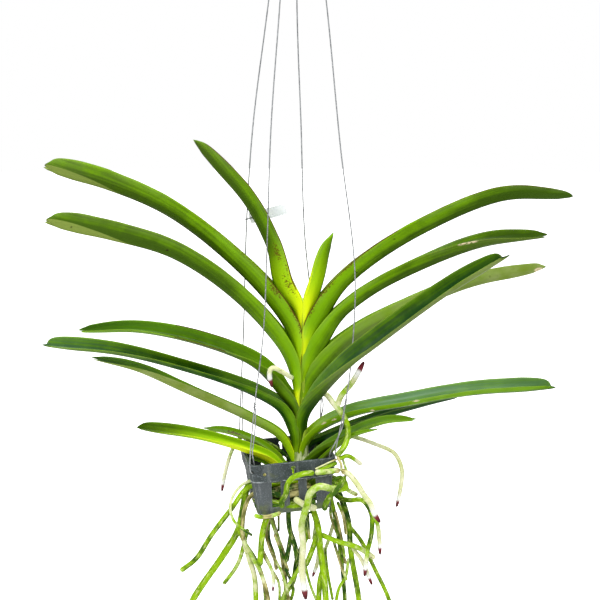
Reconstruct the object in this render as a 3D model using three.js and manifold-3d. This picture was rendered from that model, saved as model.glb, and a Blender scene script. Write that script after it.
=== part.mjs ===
// A vanda orchid grown bare-rooted in a small square slatted basket that hangs from four wires.
// Millimetres, +Z up, +X to the right and +Y to the back of the plant's flat leaf fan.
// The origin is the inside top of the hanger hook, where the rod or nail that carries it lies.
import * as THREE from "three";
import { mergeVertices } from "three/addons/utils/BufferGeometryUtils.js";
import Module from "manifold-3d";

const wasm = await Module();
wasm.setup();

// ---------- Driving dimensions ----------
const RIM_DROP = 715; // from the hook's inside down to the basket's rim
const RIM_SHIFT = -11; // the rim's centre lies this far to the side of the hook
const CLEAR = 0.3; // gap kept between touching pieces

const BASKET = {
  rim: 88, // outer width of the square rim
  base: 75, // outer width of the floor
  height: 54,
  wall: 2.2,
  band: 15, // height of the solid rim band
  bandProud: 0.9, // the band stands out from the slatted wall by this
  corner: 7, // radius of the upright corners
  slotWidth: 9.5,
  slotPitch: 18,
  slotFoot: 6.5, // solid strip left above the floor
  floorHole: 15,
  floorPitch: 20,
  wireHoleDrop: 7.5, // wire holes lie this far below the rim
  wireHole: 2.2, // their radius
  keyhole: 2.4, // radius of the eye in the middle of each side
  keyholeDrop: 6,
  pinHole: 1.4, // radius of the small holes on either side of it
  pinHoleDrop: 10,
  pinHoleOff: 29,
  yaw: 9.3, // degrees, how the basket hangs turned against the leaf fan
  tilt: -3.2, // degrees, right side a little higher
};
const WIRE = {
  radius: 0.65,
  across: 7, // the two strands straddle the rim this far apart
  top: 656.6, // where the wires run into the hook's shank
};
const HOOK = {
  inside: 14, // radius of the bend, inside
  rope: 1.75, // radius of the twisted wires
  shankFoot: 657,
  neck: 24, // the shank starts to lean this far up
  twist: 26, // degrees a millimetre
};
const TAG = {
  length: 38,
  width: 11,
  thick: 0.8,
  round: 1.5, // corner radius
  hole: 2,
  edge: 2, // from the hole to the tag's end
  off: 3, // from the wire to the tag's end
  slope: 15, // degrees
  height: 240,
};
const TIE = { radius: 0.4, turns: 2, pitch: 0.9, half: 1.55 }; // half: half the coil's width
const STEM = { x: 17, foot: -45, top: 160, base: 6.6, shoot: 5.1 };
const CROWN = { wide: 11.5, deep: 10, tall: 11.5, z: -39 }; // half sizes of the knot of root bases
const LEAF = { keel: 2.5, blade: 1.6, margin: 0.8, tipZone: 38, notch: 5 };
const REACH = 400; // side of a block that holds everything on one side of the stem

// ---------- Closed skins over rings of points ----------
// Every ring has the same number of points, listed anticlockwise as seen from the skin's far end.
function skinOver(rings, capOf) {
  const n = rings[0].length;
  const positions = rings.flat().flatMap((p) => [p.x, p.y, p.z]);
  const index = [];
  for (let r = 0; r + 1 < rings.length; r++)
    for (let i = 0; i < n; i++) {
      const a = r * n + i;
      const b = r * n + ((i + 1) % n);
      index.push(a, b, b + n, a, b + n, a + n);
    }
  const last = (rings.length - 1) * n;
  for (const [a, b, c] of capOf(n)) {
    index.push(a, c, b);
    index.push(last + a, last + b, last + c);
  }
  const geometry = new THREE.BufferGeometry();
  geometry.setAttribute("position", new THREE.Float32BufferAttribute(positions, 3));
  geometry.setIndex(index);
  return geometry;
}

// A fan closes a round ring.
const fanCap = (n) => Array.from({ length: n - 2 }, (_, i) => [0, i + 1, i + 2]);

// A ring that runs along one face of a thin blade and back along the other is closed in strips.
function stripCap(n) {
  const triangles = [];
  for (let i = 0; i + 1 < n / 2; i++) {
    const j = n - 1 - i;
    triangles.push([i, i + 1, j - 1], [i, j - 1, j]);
  }
  return triangles;
}

// Points and turn-free frames along a smooth curve through the given points.
function stationsAlong(points, perSpan) {
  const curve = new THREE.CatmullRomCurve3(
    points.map((p) => new THREE.Vector3(...p)),
    false,
    "centripetal",
  );
  const count = (points.length - 1) * perSpan;
  const stations = [];
  let side = new THREE.Vector3(0, 1, 0);
  for (let i = 0; i <= count; i++) {
    const at = curve.getPoint(i / count);
    const along = curve.getTangent(i / count);
    if (Math.abs(side.dot(along)) > 0.9) side = new THREE.Vector3(1, 0, 0);
    side = side.clone().addScaledVector(along, -side.dot(along)).normalize();
    stations.push({ at, along, side, up: along.clone().cross(side) });
  }
  return stations;
}

function ringAt({ at, side, up }, sides, radiusOf) {
  return Array.from({ length: sides }, (_, i) => {
    const angle = (i / sides) * 2 * Math.PI;
    const radius = radiusOf(angle);
    return at
      .clone()
      .addScaledVector(side, radius * Math.cos(angle))
      .addScaledVector(up, radius * Math.sin(angle));
  });
}

function wireTube(points, radius, sides, perSpan) {
  const rings = stationsAlong(points, perSpan).map((s) => ringAt(s, sides, () => radius));
  return skinOver(rings, fanCap);
}

// ---------- Solids for joining and cutting ----------
function solidOf(geometry) {
  const bare = geometry.index ? geometry.clone() : geometry;
  bare.deleteAttribute("normal");
  bare.deleteAttribute("uv");
  const merged = mergeVertices(bare, 1e-3);
  return new wasm.Manifold(
    new wasm.Mesh({
      numProp: 3,
      vertProperties: merged.attributes.position.array,
      triVerts: new Uint32Array(merged.index.array),
    }),
  );
}

// The largest body of a cut solid, as a geometry: any loose scrap of the cut is dropped.
function geometryOf(solid) {
  const bodies = solid.decompose();
  const kept = bodies.reduce((a, b) => (b.volume() > a.volume() ? b : a));
  const mesh = kept.getMesh();
  const geometry = new THREE.BufferGeometry();
  geometry.setAttribute("position", new THREE.Float32BufferAttribute(mesh.vertProperties, 3));
  geometry.setIndex(new THREE.BufferAttribute(mesh.triVerts, 1));
  return geometry;
}

function boxSolid(width, depth, height, x, y, z) {
  return solidOf(new THREE.BoxGeometry(width, depth, height).translate(x, y, z));
}

const degrees = THREE.MathUtils.degToRad;

// ---------- Basket ----------
const basketTurn = new THREE.Euler(0, degrees(BASKET.tilt), degrees(BASKET.yaw), "YXZ");
const fromBasket = (x, y, z) => new THREE.Vector3(x, y, z).applyEuler(basketTurn);

function squareRing(half, radius, z) {
  const points = [];
  for (let quarter = 0; quarter < 4; quarter++)
    for (const step of [0, 0.5, 1]) {
      const angle = ((quarter + step) * Math.PI) / 2;
      const corner = half - radius;
      const cx = quarter === 0 || quarter === 3 ? corner : -corner;
      const cy = quarter < 2 ? corner : -corner;
      const [dx, dy] = [radius * Math.cos(angle), radius * Math.sin(angle)];
      points.push(new THREE.Vector3(cx + dx, cy + dy, z));
    }
  return points;
}

function basketSolid() {
  const { rim, base, height, wall, band, bandProud, corner } = BASKET;
  const wallHalf = (z) => THREE.MathUtils.lerp(rim / 2 - bandProud, base / 2, -z / height);
  const outside = [
    squareRing(wallHalf(-height), corner - 1, -height),
    squareRing(wallHalf(-band), corner, -band - 0.8),
    squareRing(wallHalf(-band) + bandProud, corner, -band),
    squareRing(rim / 2, corner, 0),
  ];
  const inside = [
    squareRing(wallHalf(-height) - wall, corner - wall, wall - height),
    squareRing(wallHalf(1) - wall, corner - wall, 1),
  ];
  let solid = solidOf(skinOver(outside, fanCap)).subtract(solidOf(skinOver(inside, fanCap)));
  for (const cutter of [...slotCutters(), ...floorCutters(), ...rimHoleCutters()])
    solid = solid.subtract(cutter);
  return solid;
}

// Three upright slots in each wall, cut right across to the wall opposite.
function slotCutters() {
  const { rim, slotWidth, slotPitch, slotFoot, height, band } = BASKET;
  const low = slotFoot - height;
  const high = -band - 1.5;
  const [tall, z] = [high - low, (high + low) / 2];
  const through = rim + 20;
  return [-1, 0, 1].flatMap((i) => [
    boxSolid(slotWidth, through, tall, i * slotPitch, 0, z),
    boxSolid(through, slotWidth, tall, 0, i * slotPitch, z),
  ]);
}

// A grid of square holes in the floor lets the roots grow out below.
function floorCutters() {
  const { floorHole, floorPitch, height, wall } = BASKET;
  const places = [-floorPitch, 0, floorPitch];
  const deep = 4 * wall;
  return places.flatMap((x) =>
    places.map((y) => boxSolid(floorHole, floorHole, deep, x, y, wall / 2 - height)),
  );
}

// Wire holes through the corners, and in each side a keyhole between two small holes.
function rimHoleCutters() {
  const { rim, wireHole, wireHoleDrop, keyhole, keyholeDrop } = BASKET;
  const { pinHole, pinHoleDrop, pinHoleOff } = BASKET;
  const through = rim + 20;
  const bore = (radius, length, turn, x, y, z) => {
    const rod = new THREE.CylinderGeometry(radius, radius, length, 8);
    return solidOf(rod.rotateZ(turn).translate(x, y, z));
  };
  const cutters = [-1, 1].map((way) =>
    bore(wireHole, 1.5 * through, (way * Math.PI) / 4, 0, 0, -wireHoleDrop),
  );
  const slotZ = -1.5 * keyholeDrop;
  for (const off of [-pinHoleOff, pinHoleOff]) {
    cutters.push(bore(pinHole, through, 0, off, 0, -pinHoleDrop));
    cutters.push(bore(pinHole, through, Math.PI / 2, 0, off, -pinHoleDrop));
  }
  return [
    ...cutters,
    bore(keyhole, through, 0, 0, 0, -keyholeDrop),
    bore(keyhole, through, Math.PI / 2, 0, 0, -keyholeDrop),
    boxSolid(keyhole, through, 8, 0, 0, slotZ),
    boxSolid(through, keyhole, 8, 0, 0, slotZ),
  ];
}

// ---------- Hanging wires ----------
// Each wire runs from the twisted hook shank to a rim corner, bending round the leaves it meets.
// Its end comes back up from the corner and meets it again at the last point of the route.
const WIRE_ROUTES = {
  wire_front_left: {
    corner: [-1, -1],
    route: [[-5, -2, 449], [-14, -11, 329], [-18, -21, 220], [-22, -30, 130], [-31, -41, 56]],
  },
  wire_back_left: {
    corner: [-1, 1],
    route: [[-16, 2, 449], [-32, 9, 330], [-39, 17, 240], [-44, 27, 115], [-47, 33, 58]],
  },
  wire_back_right: {
    corner: [1, 1],
    route: [[11, 3, 449], [15, 12, 330], [19, 24, 215], [31, 37, 106], [36, 43, 52]],
  },
  wire_front_right: {
    corner: [1, -1],
    route: [[39, -2, 449], [53, -10, 312], [68, -20, 185], [64, -28, 94], [59, -31, 57]],
  },
};

// It passes down outside the corner, in through the wire hole and back up inside it.
function wirePoints({ corner: [cx, cy], route }) {
  const { rim, corner, wireHoleDrop } = BASKET;
  const { radius, across, top } = WIRE;
  const face = (rim / 2 - corner) * Math.SQRT2 + corner; // the corner's outside, along the diagonal
  const onDiagonal = (reach, z) => {
    const leg = reach / Math.SQRT2;
    return fromBasket(cx * leg, cy * leg, z).toArray();
  };
  const outer = face + radius + 2 * CLEAR;
  const inner = outer - across;
  const [meetX, meetY, meetZ] = route.at(-1);
  return [
    [-RIM_SHIFT + cx * 1.3 * radius, cy * 1.3 * radius, top],
    ...route,
    onDiagonal(outer, 3),
    onDiagonal(outer - CLEAR, 1.5 - wireHoleDrop),
    onDiagonal((outer + inner) / 2, -0.6 - wireHoleDrop),
    onDiagonal(inner + CLEAR, 1.5 - wireHoleDrop),
    onDiagonal(inner, 4),
    [meetX - 2 * cx * radius, meetY - 2 * cy * radius, meetZ - 1],
  ];
}

// ---------- Hanger hook: the four wire ends twisted into one rope and bent over ----------
function hookGeometry() {
  const { inside, rope, shankFoot, neck, twist } = HOOK;
  const bend = inside + rope;
  const x = -RIM_SHIFT;
  const onBend = (turned) => {
    const angle = degrees(turned);
    return [x + bend * Math.cos(angle), 0, RIM_DROP - inside + bend * Math.sin(angle)];
  };
  const points = [
    [x, 0, shankFoot],
    [x, 0, shankFoot + neck / 2],
    [x - 1.5, 0, shankFoot + neck],
    ...[212, 180, 145, 110, 75, 40, 5, -32].map(onBend),
  ];
  let run = 0;
  let before = points[0];
  const rings = stationsAlong(points, 4).map((station) => {
    run += station.at.distanceTo(new THREE.Vector3(...before));
    before = station.at.toArray();
    const turned = degrees(run * twist);
    return ringAt(station, 8, (angle) => rope * (0.86 + 0.14 * Math.cos(4 * angle + turned)));
  });
  return skinOver(rings, fanCap);
}

// ---------- Name tag and its tie ----------
function tagGeometry() {
  const { length, width, thick, round, off, edge, hole } = TAG;
  const half = width / 2;
  const quarter = Math.PI / 2;
  const shape = new THREE.Shape();
  shape.moveTo(round, -half);
  shape.lineTo(length - round, -half);
  shape.absarc(length - round, round - half, round, -quarter, 0, false);
  shape.absarc(length - round, half - round, round, 0, quarter, false);
  shape.lineTo(round, half);
  shape.absarc(round, half - round, round, quarter, 2 * quarter, false);
  shape.absarc(round, round - half, round, 2 * quarter, 3 * quarter, false);
  shape.holes.push(new THREE.Path().absarc(edge + hole, 0, hole, 0, 4 * quarter, true));
  const plate = new THREE.ExtrudeGeometry(shape, {
    depth: thick,
    bevelEnabled: false,
    curveSegments: 3,
  });
  return plate.translate(off, 0, -thick / 2).rotateX(quarter);
}

// Turns of thin wire through the tag's hole and round the hanging wire.
function tieGeometry() {
  const { radius, turns, pitch, half } = TIE;
  const left = -(WIRE.radius + CLEAR + radius);
  const right = TAG.off + TAG.edge + TAG.hole - 2 * radius;
  const [middle, reach] = [(left + right) / 2, (right - left) / 2];
  const perTurn = 16;
  const points = Array.from({ length: perTurn * turns + 1 }, (_, i) => {
    const turn = i / perTurn;
    const angle = turn * 2 * Math.PI;
    return [middle + reach * Math.cos(angle), half * Math.sin(angle), (turn - turns / 2) * pitch];
  });
  return wireTube(points, radius, 5, 1);
}

// ---------- Stem ----------
// The stem itself hardly shows: leaf bases clasp it all the way up. Its foot stands in the root crown.
function stemRings(extra) {
  const { x, foot, top, base, shoot } = STEM;
  const levels = [foot - extra, foot + 4, -24, -6, 10, 30, 60, 90, 120, top - 6, top + extra];
  return levels.map((z, i) => {
    const atEnd = i === 0 || i === levels.length - 1;
    const grown = THREE.MathUtils.lerp(base, shoot, THREE.MathUtils.smoothstep(z, -20, 30));
    const radius = grown * (atEnd ? 0.6 : 1) + extra;
    const frame = {
      at: new THREE.Vector3(x, 0, z),
      side: new THREE.Vector3(1, 0, 0),
      up: new THREE.Vector3(0, 1, 0),
    };
    return ringAt(frame, 12, () => radius);
  });
}

// ---------- Leaves ----------
// Strap leaves in two ranks, folded along the keel into a channel that opens towards the shoot.
// path: middle of the folded blade from its base to its tip. half: half the flattened width.
// roll: degrees at base, middle and tip that the channel turns towards the front.
// open: half-opening of the fold in degrees at base, middle and tip.
const LEAVES = {
  leaf_left_1: {
    side: -1,
    half: 15.5,
    roll: [0, 0, 6],
    open: [21, 34, 47],
    path: [[15, 0, 151], [1, 0, 170], [-12, 0, 212], [-35, 0, 257], [-64, 4, 290], [-88, 8, 313]],
  },
  leaf_left_2: {
    side: -1,
    half: 19,
    roll: [0, -9, -37],
    open: [23, 34, 40],
    path: [[15, 0, 110], [-6, 0, 150], [-47, 0, 196], [-113, 6, 247], [-174, 14, 272], [-238, 22, 287]],
  },
  leaf_left_3: {
    side: -1,
    half: 18.5,
    roll: [0, -13, -39],
    open: [35, 34, 40],
    path: [
      [15, 0, 73], [-2, 0, 111], [-48, -2, 164], [-109, -6, 207], [-170, -12, 226], [-232, -16, 238],
    ],
  },
  leaf_left_4: {
    side: -1,
    half: 15,
    roll: [0, 55, 63],
    open: [23, 23, 10],
    path: [[15, 0, 43], [-2, 0, 63], [-29, -3, 91], [-80, -4, 114], [-149, 0, 127], [-206, 6, 123]],
  },
  leaf_left_5: {
    side: -1,
    half: 12,
    roll: [0, 38, 39],
    open: [23, 18, 34],
    path: [[15, 0, 14], [-1, 0, 42], [-33, 0, 62], [-108, -10, 91], [-170, -24, 110], [-234, -38, 120]],
  },
  leaf_left_6: {
    side: -1,
    half: 9,
    roll: [0, 34, 49],
    open: [25, 22, 23],
    path: [[15, 0, -15], [-3, 2, 12], [-33, 6, 30], [-96, 12, 58], [-152, 16, 81], [-196, 18, 91]],
  },
  leaf_left_7: {
    side: -1,
    half: 10,
    roll: [0, 28, 39],
    open: [31, 31, 36],
    path: [[15, -8, -26], [0, -9, -19], [-15, -9, -8], [-38, -12, 3], [-88, -22, 21], [-147, -34, 34]],
  },
  leaf_left_8: {
    side: -1,
    half: 7,
    roll: [0, 19, 29],
    open: [31, 36, 41],
    path: [[15, 7, -24], [2, 10, -20], [-8, 12, -12], [-35, 14, 5], [-59, 16, 13], [-83, 18, 16]],
  },
  leaf_left_9: {
    side: -1,
    half: 6,
    roll: [0, 30, 40],
    open: [30, 40, 50],
    path: [[14, 2, -29], [-2, 4, -24], [-14, 4, -19], [-25, 2, -13], [-37, -2, -8]],
  },
  leaf_right_1: {
    side: 1,
    half: 14,
    roll: [0, -1, -1],
    open: [22, 29, 47],
    path: [[19, 0, 139], [29, 0, 170], [38, 3, 203], [46, 8, 220]],
  },
  leaf_right_2: {
    side: 1,
    half: 16,
    roll: [0, -4, -8],
    open: [25, 29, 53],
    path: [[19, 0, 116], [38, 0, 154], [73, 2, 190], [136, 8, 230], [216, 18, 260], [285, 26, 258]],
  },
  leaf_right_3: {
    side: 1,
    half: 13,
    roll: [0, 14, 32],
    open: [22, 29, 39],
    path: [[19, 0, 87], [39, 0, 127], [78, 3, 162], [129, 8, 189], [194, 14, 212], [259, 18, 218]],
  },
  leaf_right_4: {
    side: 1,
    half: 16,
    roll: [0, -10, -15],
    open: [25, 32, 49],
    path: [[19, 3, 58], [36, 4, 92], [74, 10, 123], [126, 18, 148], [188, 26, 171], [262, 34, 183]],
  },
  leaf_right_5: {
    side: 1,
    half: 15,
    roll: [0, 38, 42],
    open: [21, 38, 21],
    path: [
      [19, -1, 21], [23, -12, 51], [50, -38, 93], [101, -48, 136], [162, -56, 183], [206, -62, 211],
    ],
  },
  leaf_right_6: {
    side: 1,
    half: 13,
    roll: [0, 26, 34],
    open: [41, 41, 30],
    path: [[19, 0, -8], [29, -1, 18], [63, -5, 37], [119, -20, 53], [186, -38, 71], [261, -54, 82]],
  },
  leaf_right_7: {
    side: 1,
    half: 8,
    roll: [0, 8, 19],
    open: [30, 35, 37],
    path: [[19, 10, -22], [27, 13, 1], [37, 15, 7], [83, 22, 25], [144, 30, 36], [175, 34, 40]],
  },
  leaf_right_8: {
    side: 1,
    half: 7.5,
    roll: [0, 28, 28],
    open: [28, 29, 35],
    path: [[19, -10, -17], [31, -11, -3], [46, -6, 11], [72, -11, 24], [99, -18, 35], [127, -22, 38]],
  },
  leaf_right_9: {
    side: 1,
    half: 6,
    roll: [0, 10, 20],
    open: [30, 36, 40],
    path: [[22, -6, -27], [31, -14, -16], [39, -20, 0], [47, -22.5, 9], [70, -25, 15], [92, -27, 18]],
  },
};

// A value given at base, middle and tip, eased between them.
function between([base, middle, tip], s) {
  const ease = (t) => t * t * (3 - 2 * t);
  return s < 0.5
    ? THREE.MathUtils.lerp(base, middle, ease(s * 2))
    : THREE.MathUtils.lerp(middle, tip, ease(s * 2 - 1));
}

// Half-width along the blade: it widens out of the clasping base and rounds off at the tip.
function halfWidth(leaf, s, length) {
  const grown = THREE.MathUtils.lerp(0.84, 1, THREE.MathUtils.smoothstep(s, 0, 0.22));
  const zone = Math.min(LEAF.tipZone, length * 0.4);
  const into = Math.max(0, 1 - ((1 - s) * length) / zone);
  return leaf.half * grown * (0.3 + 0.7 * Math.sqrt(1 - 0.98 * into * into));
}

// The folded section: five points up the inside from one margin to the other, five back outside.
// Each point is [across, towards the shoot], measured from the middle of the section.
function channelSection(width, openAngle, s) {
  const cup = THREE.MathUtils.lerp(24, 12, s); // each arm bends upright by this much halfway out
  const lower = degrees(openAngle + cup);
  const upper = degrees(Math.max(2, openAngle - 0.6 * cup));
  const mean = (lower + upper) / 2;
  const arm = width / 2;
  const thin = Math.min(1, width / 12); // narrow leaves are thinner
  const blade = Math.max(0.8, LEAF.blade * thin);
  const keel = [0, -Math.max(1, LEAF.keel * thin)];
  const step = ([across, up], length, angle) => [
    across + length * Math.sin(angle),
    up + length * Math.cos(angle),
  ];
  const fold = step([0, 0], arm, lower);
  const rim = step(fold, arm, upper);
  const foldOut = step(fold, blade, mean + Math.PI / 2);
  const rimOut = step(rim, LEAF.margin, upper + Math.PI / 2);
  const mirror = ([across, up]) => [-across, up];
  const inside = [rim, fold, [0, 0], mirror(fold), mirror(rim)];
  const outside = [mirror(rimOut), mirror(foldOut), keel, foldOut, rimOut];
  const middle = (rim[1] + keel[1]) / 2;
  return [...inside, ...outside].map(([across, up]) => [across, up - middle]);
}

// Places along the blade where it gets a section: even steps, then closer ones round the tip.
function leafStops(length) {
  const steps = Math.max(5, Math.round(length / 22));
  const tipStart = 1 - (LEAF.tipZone * 0.85) / length;
  const body = Array.from({ length: steps }, (_, i) => (i / steps) * tipStart);
  return [...body, tipStart, 1 - 19 / length, 1 - 9 / length, 1];
}

function leafGeometry(leaf) {
  const curve = new THREE.CatmullRomCurve3(
    leaf.path.map((p) => new THREE.Vector3(...p)),
    false,
    "centripetal",
  );
  const length = curve.getLength();
  const back = new THREE.Vector3(0, 1, 0);
  const rings = leafStops(length).map((s) => {
    const at = curve.getPointAt(s);
    const along = curve.getTangentAt(s);
    const inward = along.clone().cross(back).multiplyScalar(leaf.side).normalize();
    const across = inward.clone().cross(along).multiplyScalar(leaf.side).normalize();
    const turn = leaf.side * degrees(between(leaf.roll, s));
    inward.applyAxisAngle(along, turn);
    across.applyAxisAngle(along, turn);
    const section = channelSection(halfWidth(leaf, s, length), between(leaf.open, s), s);
    const ring = section.map(([db, dn], i) => {
      const ahead = s === 1 ? tipLead(i) : 0;
      const point = at.clone().addScaledVector(along, ahead);
      return point.addScaledVector(across, db).addScaledVector(inward, dn);
    });
    return leaf.side > 0 ? ring : ring.reverse();
  });
  return skinOver(rings, stripCap);
}

// The tip ends in two unequal lobes with a notch at the keel between them.
function tipLead(i) {
  const acrossTip = [1, 0.5, 0, -0.5, -1, -1, -0.5, 0, 0.5, 1][i];
  if (acrossTip === 0) return -LEAF.notch;
  if (Math.abs(acrossTip) === 1) return -1.5;
  return acrossTip > 0 ? 2.2 : 0.4;
}

// Left and right leaf bases meet in the stem's middle plane and clasp the stem with a hair's gap.
function seatedLeaf(leaf) {
  const otherSide = STEM.x + (leaf.side * (CLEAR - REACH)) / 2;
  const taken = boxSolid(REACH, REACH, 2 * REACH, otherSide, 0, 0)
    .add(solidOf(skinOver(stemRings(CLEAR), fanCap)))
    .add(crownSolid(CLEAR));
  return geometryOf(solidOf(leafGeometry(leaf)).subtract(taken));
}

// ---------- Roots ----------
// Each root: thickness and the way it runs from the stem. Those that hang below the basket end in
// tapered growing tips.
const HANGING_ROOTS = [
  {
    thick: 6.6,
    way: [
      [20, -4, -34], [25, -16, -52], [32, -24, -73], [35, -28, -98], [41, -32, -164], [36, -34, -250],
      [44, -30, -330],
    ],
  },
  {
    thick: 5.6,
    way: [[37, -29, -120], [34, -26, -136], [33, -24, -166], [28, -20, -220], [30, -18, -270]],
  },
  {
    thick: 5.6,
    way: [[32, -25, -81], [27, -22, -99], [20, -20, -119]],
  },
  {
    thick: 4.5,
    way: [
      [22, -3, -34], [44, -11, -38], [46, -12, -50], [49, -11, -64], [55, -8, -102], [61, -10, -174],
      [56, -8, -240], [62, -4, -296],
    ],
  },
  {
    thick: 5.8,
    way: [
      [24, 4, -34], [42, 8, -36], [52, 8, -46], [58, 4, -58], [64, -10, -76], [66, -16, -103],
      [76, -20, -170], [72, -26, -230], [80, -24, -284],
    ],
  },
  {
    thick: 5.4,
    way: [[35, -24, -83], [53, -28, -90], [72, -31, -97], [91, -32, -111]],
  },
  {
    thick: 4.4,
    way: [
      [64, -12, -78], [77, -6, -97], [91, -2, -128], [108, 2, -168], [116, 4, -214], [112, 6, -246],
    ],
  },
  {
    thick: 4.2,
    way: [[66, -16, -99], [77, -20, -112], [88, -24, -138]],
  },
  {
    thick: 3.2,
    way: [[46, -12, -54], [46, 4, -74], [56, 10, -105], [62, 12, -130]],
  },
  {
    thick: 3.4,
    way: [[24, 5, -40], [24, 7, -55], [30, 14, -84], [28, 16, -105]],
  },
  {
    thick: 3,
    way: [[20, 3, -42], [19, 1, -57], [22, 4, -80], [24, 2, -99]],
  },
  {
    thick: 5.5,
    way: [[15, -4, -36], [4, -18, -49], [3, -20, -76], [9, -22, -97], [11, -22, -112]],
  },
  {
    thick: 5,
    way: [[5, -20, -84], [2, -18, -103], [0, -16, -116]],
  },
  {
    thick: 4.6,
    way: [
      [14, 0, -38], [-8, -2, -41], [-18, -3, -53], [-14, 2, -80], [-6, 7, -112], [0, 10, -183],
      [-8, 14, -270], [0, 12, -360],
    ],
  },
  {
    thick: 4,
    way: [[-17, -1, -66], [-19, 14, -101], [-13, 20, -126], [-11, 22, -141]],
  },
  {
    thick: 6.2,
    way: [[14, -3, -34], [-7, -18, -40], [-14, -23, -52], [-23, -30, -74], [-27, -32, -114]],
  },
  {
    thick: 5.8,
    way: [[22, 2, -92], [11, 10, -125], [7, 6, -146], [-1, 2, -159], [-9, 0, -190], [-4, -4, -250]],
  },
  {
    thick: 5.8,
    way: [[18, 3, -40], [19, 4, -54], [21, 3, -76], [22, 2, -96]],
  },
  {
    thick: 4,
    way: [[33, -24, -88], [32, -12, -118], [27, -8, -136]],
  },
  {
    thick: 4.6,
    way: [
      [12, -2, -36], [-14, -16, -40], [-34, -24, -40], [-41, -25, -52], [-44, -28, -84],
      [-35, -26, -106], [-26, -24, -125], [-18, -22, -164], [-24, -18, -240], [-18, -14, -310],
    ],
  },
  {
    thick: 5.4,
    way: [
      [-44, -27, -84], [-38, -20, -112], [-33, -18, -131], [-32, -16, -172], [-38, -12, -230],
      [-34, -8, -290],
    ],
  },
  {
    thick: 3.6,
    way: [[-26, -31, -94], [-18, -26, -113], [-13, -24, -130], [-14, -22, -146]],
  },
];

// Roots that leave the crown on their own way, each a piece of its own.
const FREE_ROOTS = {
  root_aerial_left: {
    thick: 5.4,
    way: [
      [7, -5.5, 76.3], [2.5, -9, 80], [-2, -12, 84], [-7, -14.5, 87.5], [-11, -16, 90],
      [-15, -17, 89.5], [-16.5, -17, 83], [-14, -16, 70],
    ],
  },
  root_aerial_right: {
    thick: 5.8,
    way: [
      [22, 5, 41], [31, 12, 54], [40, -6, 60], [48, -21, 54], [55, -24, 46], [61.5, -27, 33],
      [60.5, -33, 19], [56, -38, 12], [50, -41.5, 6],
    ],
    branches: [
      { thick: 4, way: [[51, -22, 51], [55, -20, 62], [66, -17, 75], [78, -14, 96]] },
      { thick: 3, way: [[51, -41.5, 6.5], [52.5, -43, 3], [55, -43, -2], [55, -43, -9]] },
      {
        thick: 4.4,
        way: [[52, -42, 4], [55.5, -38.5, 3.5], [60.5, -35, 4.5], [68, -28, -1], [76, -22, -9]],
      },
    ],
  },
  root_front_thick: {
    thick: 6.8,
    way: [
      [20, -4, -40], [34, -12.5, -28], [46, -12, -27], [58, -24, -30], [58, -42, -27], [46, -52, -24],
      [30, -57, -20], [20, -56, -26], [17, -55, -40], [14, -50, -62], [17, -46, -86], [16, -42, -114],
      [20, -40, -147],
    ],
    branches: [{ thick: 5.6, way: [[55, -46, -25], [46, -50, -32], [40, -50, -40], [38, -48, -48]] }],
  },
  root_band_left: {
    thick: 5.4,
    way: [
      [54, -43, -8], [46, -43.5, -8.5], [31, -45, -9.5], [18, -47, -10], [7, -49, -13.5], [1.5, -51, -20],
      [0, -51, -30], [-4, -50, -38], [-4, -49, -45],
    ],
  },
  root_band_right: {
    thick: 5.6,
    way: [
      [55, -43.5, -8], [62, -46, -10.5], [71, -48, -21], [77, -48, -31], [84, -48, -41], [88, -48, -51],
      [94, -48, -61],
    ],
  },
  root_far_right: {
    thick: 4.3,
    way: [
      [18, 10, -36], [26, 22, -22], [33, 26, -2], [39, 26, 7], [54, 22, 10], [69, 14, 9], [92, 10, 2],
      [111, 8, -7], [119, 6, -24], [118, 5, -43], [114, 4, -64],
    ],
  },
  root_right_arch: {
    thick: 5,
    way: [
      [22, 3, -42], [36, 5.5, -42.3], [44, 6, -42.8], [54, -3, -51], [65, -14, -50], [77, -19, -48],
      [86, -20, -60], [87, -20, -82], [82, -18, -101], [80, -16, -127],
    ],
    branches: [{ thick: 4.4, way: [[84, -20, -58], [92, -22, -70], [95, -22, -89], [96, -22, -106]] }],
  },
  root_far_left: {
    thick: 5.3,
    way: [
      [14, -4, -34], [-16, -20, -31], [-38, -25, -32], [-55, -33, -52], [-75, -34, -79],
      [-92, -30, -107], [-108, -28, -121],
    ],
  },
  root_left_thick: {
    thick: 7,
    way: [
      [14, 1, -38], [-20, -2, -34], [-38, -6, -36], [-44, -8, -58], [-50, -4, -86], [-66, 2, -116],
      [-99, 8, -169], [-116, 14, -214], [-112, 18, -262],
    ],
  },
  root_left_drop: {
    thick: 4,
    way: [
      [16, 9, -34], [4, 20, -18], [-22, 25, 0], [-46, 23, 6], [-56, 16, -6], [-64, 12, -32],
      [-67, 10, -49],
    ],
  },
  root_left_thin: {
    thick: 3,
    way: [
      [14, -8, -32], [0, -20, -29], [-16, -27, -25], [-38, -26, -25.5], [-50, -30, -34],
      [-56, -38, -47], [-52, -42, -62], [-34, -40, -78],
    ],
  },
};

// A root's skin: an uneven thickness drawn from a seeded sequence, and a blunt tapered tip.
function rootGeometry({ thick, way }, sides, extra) {
  let seed = Math.round(thick * 97 + way[0][2] * 13 + way.length * 31);
  const draw = () => {
    seed = (seed * 16807 + 12345) % 2147483647;
    return Math.abs(seed % 1000) / 1000;
  };
  const stations = stationsAlong(way, 2);
  const last = stations.length - 1;
  const rings = stations.map((station, i) => {
    const tip = [0.42, 0.8, 0.94][last - i] ?? 1;
    const radius = (thick / 2) * tip * (0.94 + 0.12 * draw()) + extra;
    const reach = i === last ? 1.5 + extra : 0;
    const at = station.at.clone().addScaledVector(station.along, reach);
    return ringAt({ ...station, at }, sides, () => radius);
  });
  return skinOver(rings, fanCap);
}

const joined = (solids) => solids.reduce((a, b) => a.add(b));

const hangingRoots = (extra) =>
  joined(HANGING_ROOTS.map((root) => solidOf(rootGeometry(root, 5, extra))));

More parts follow.
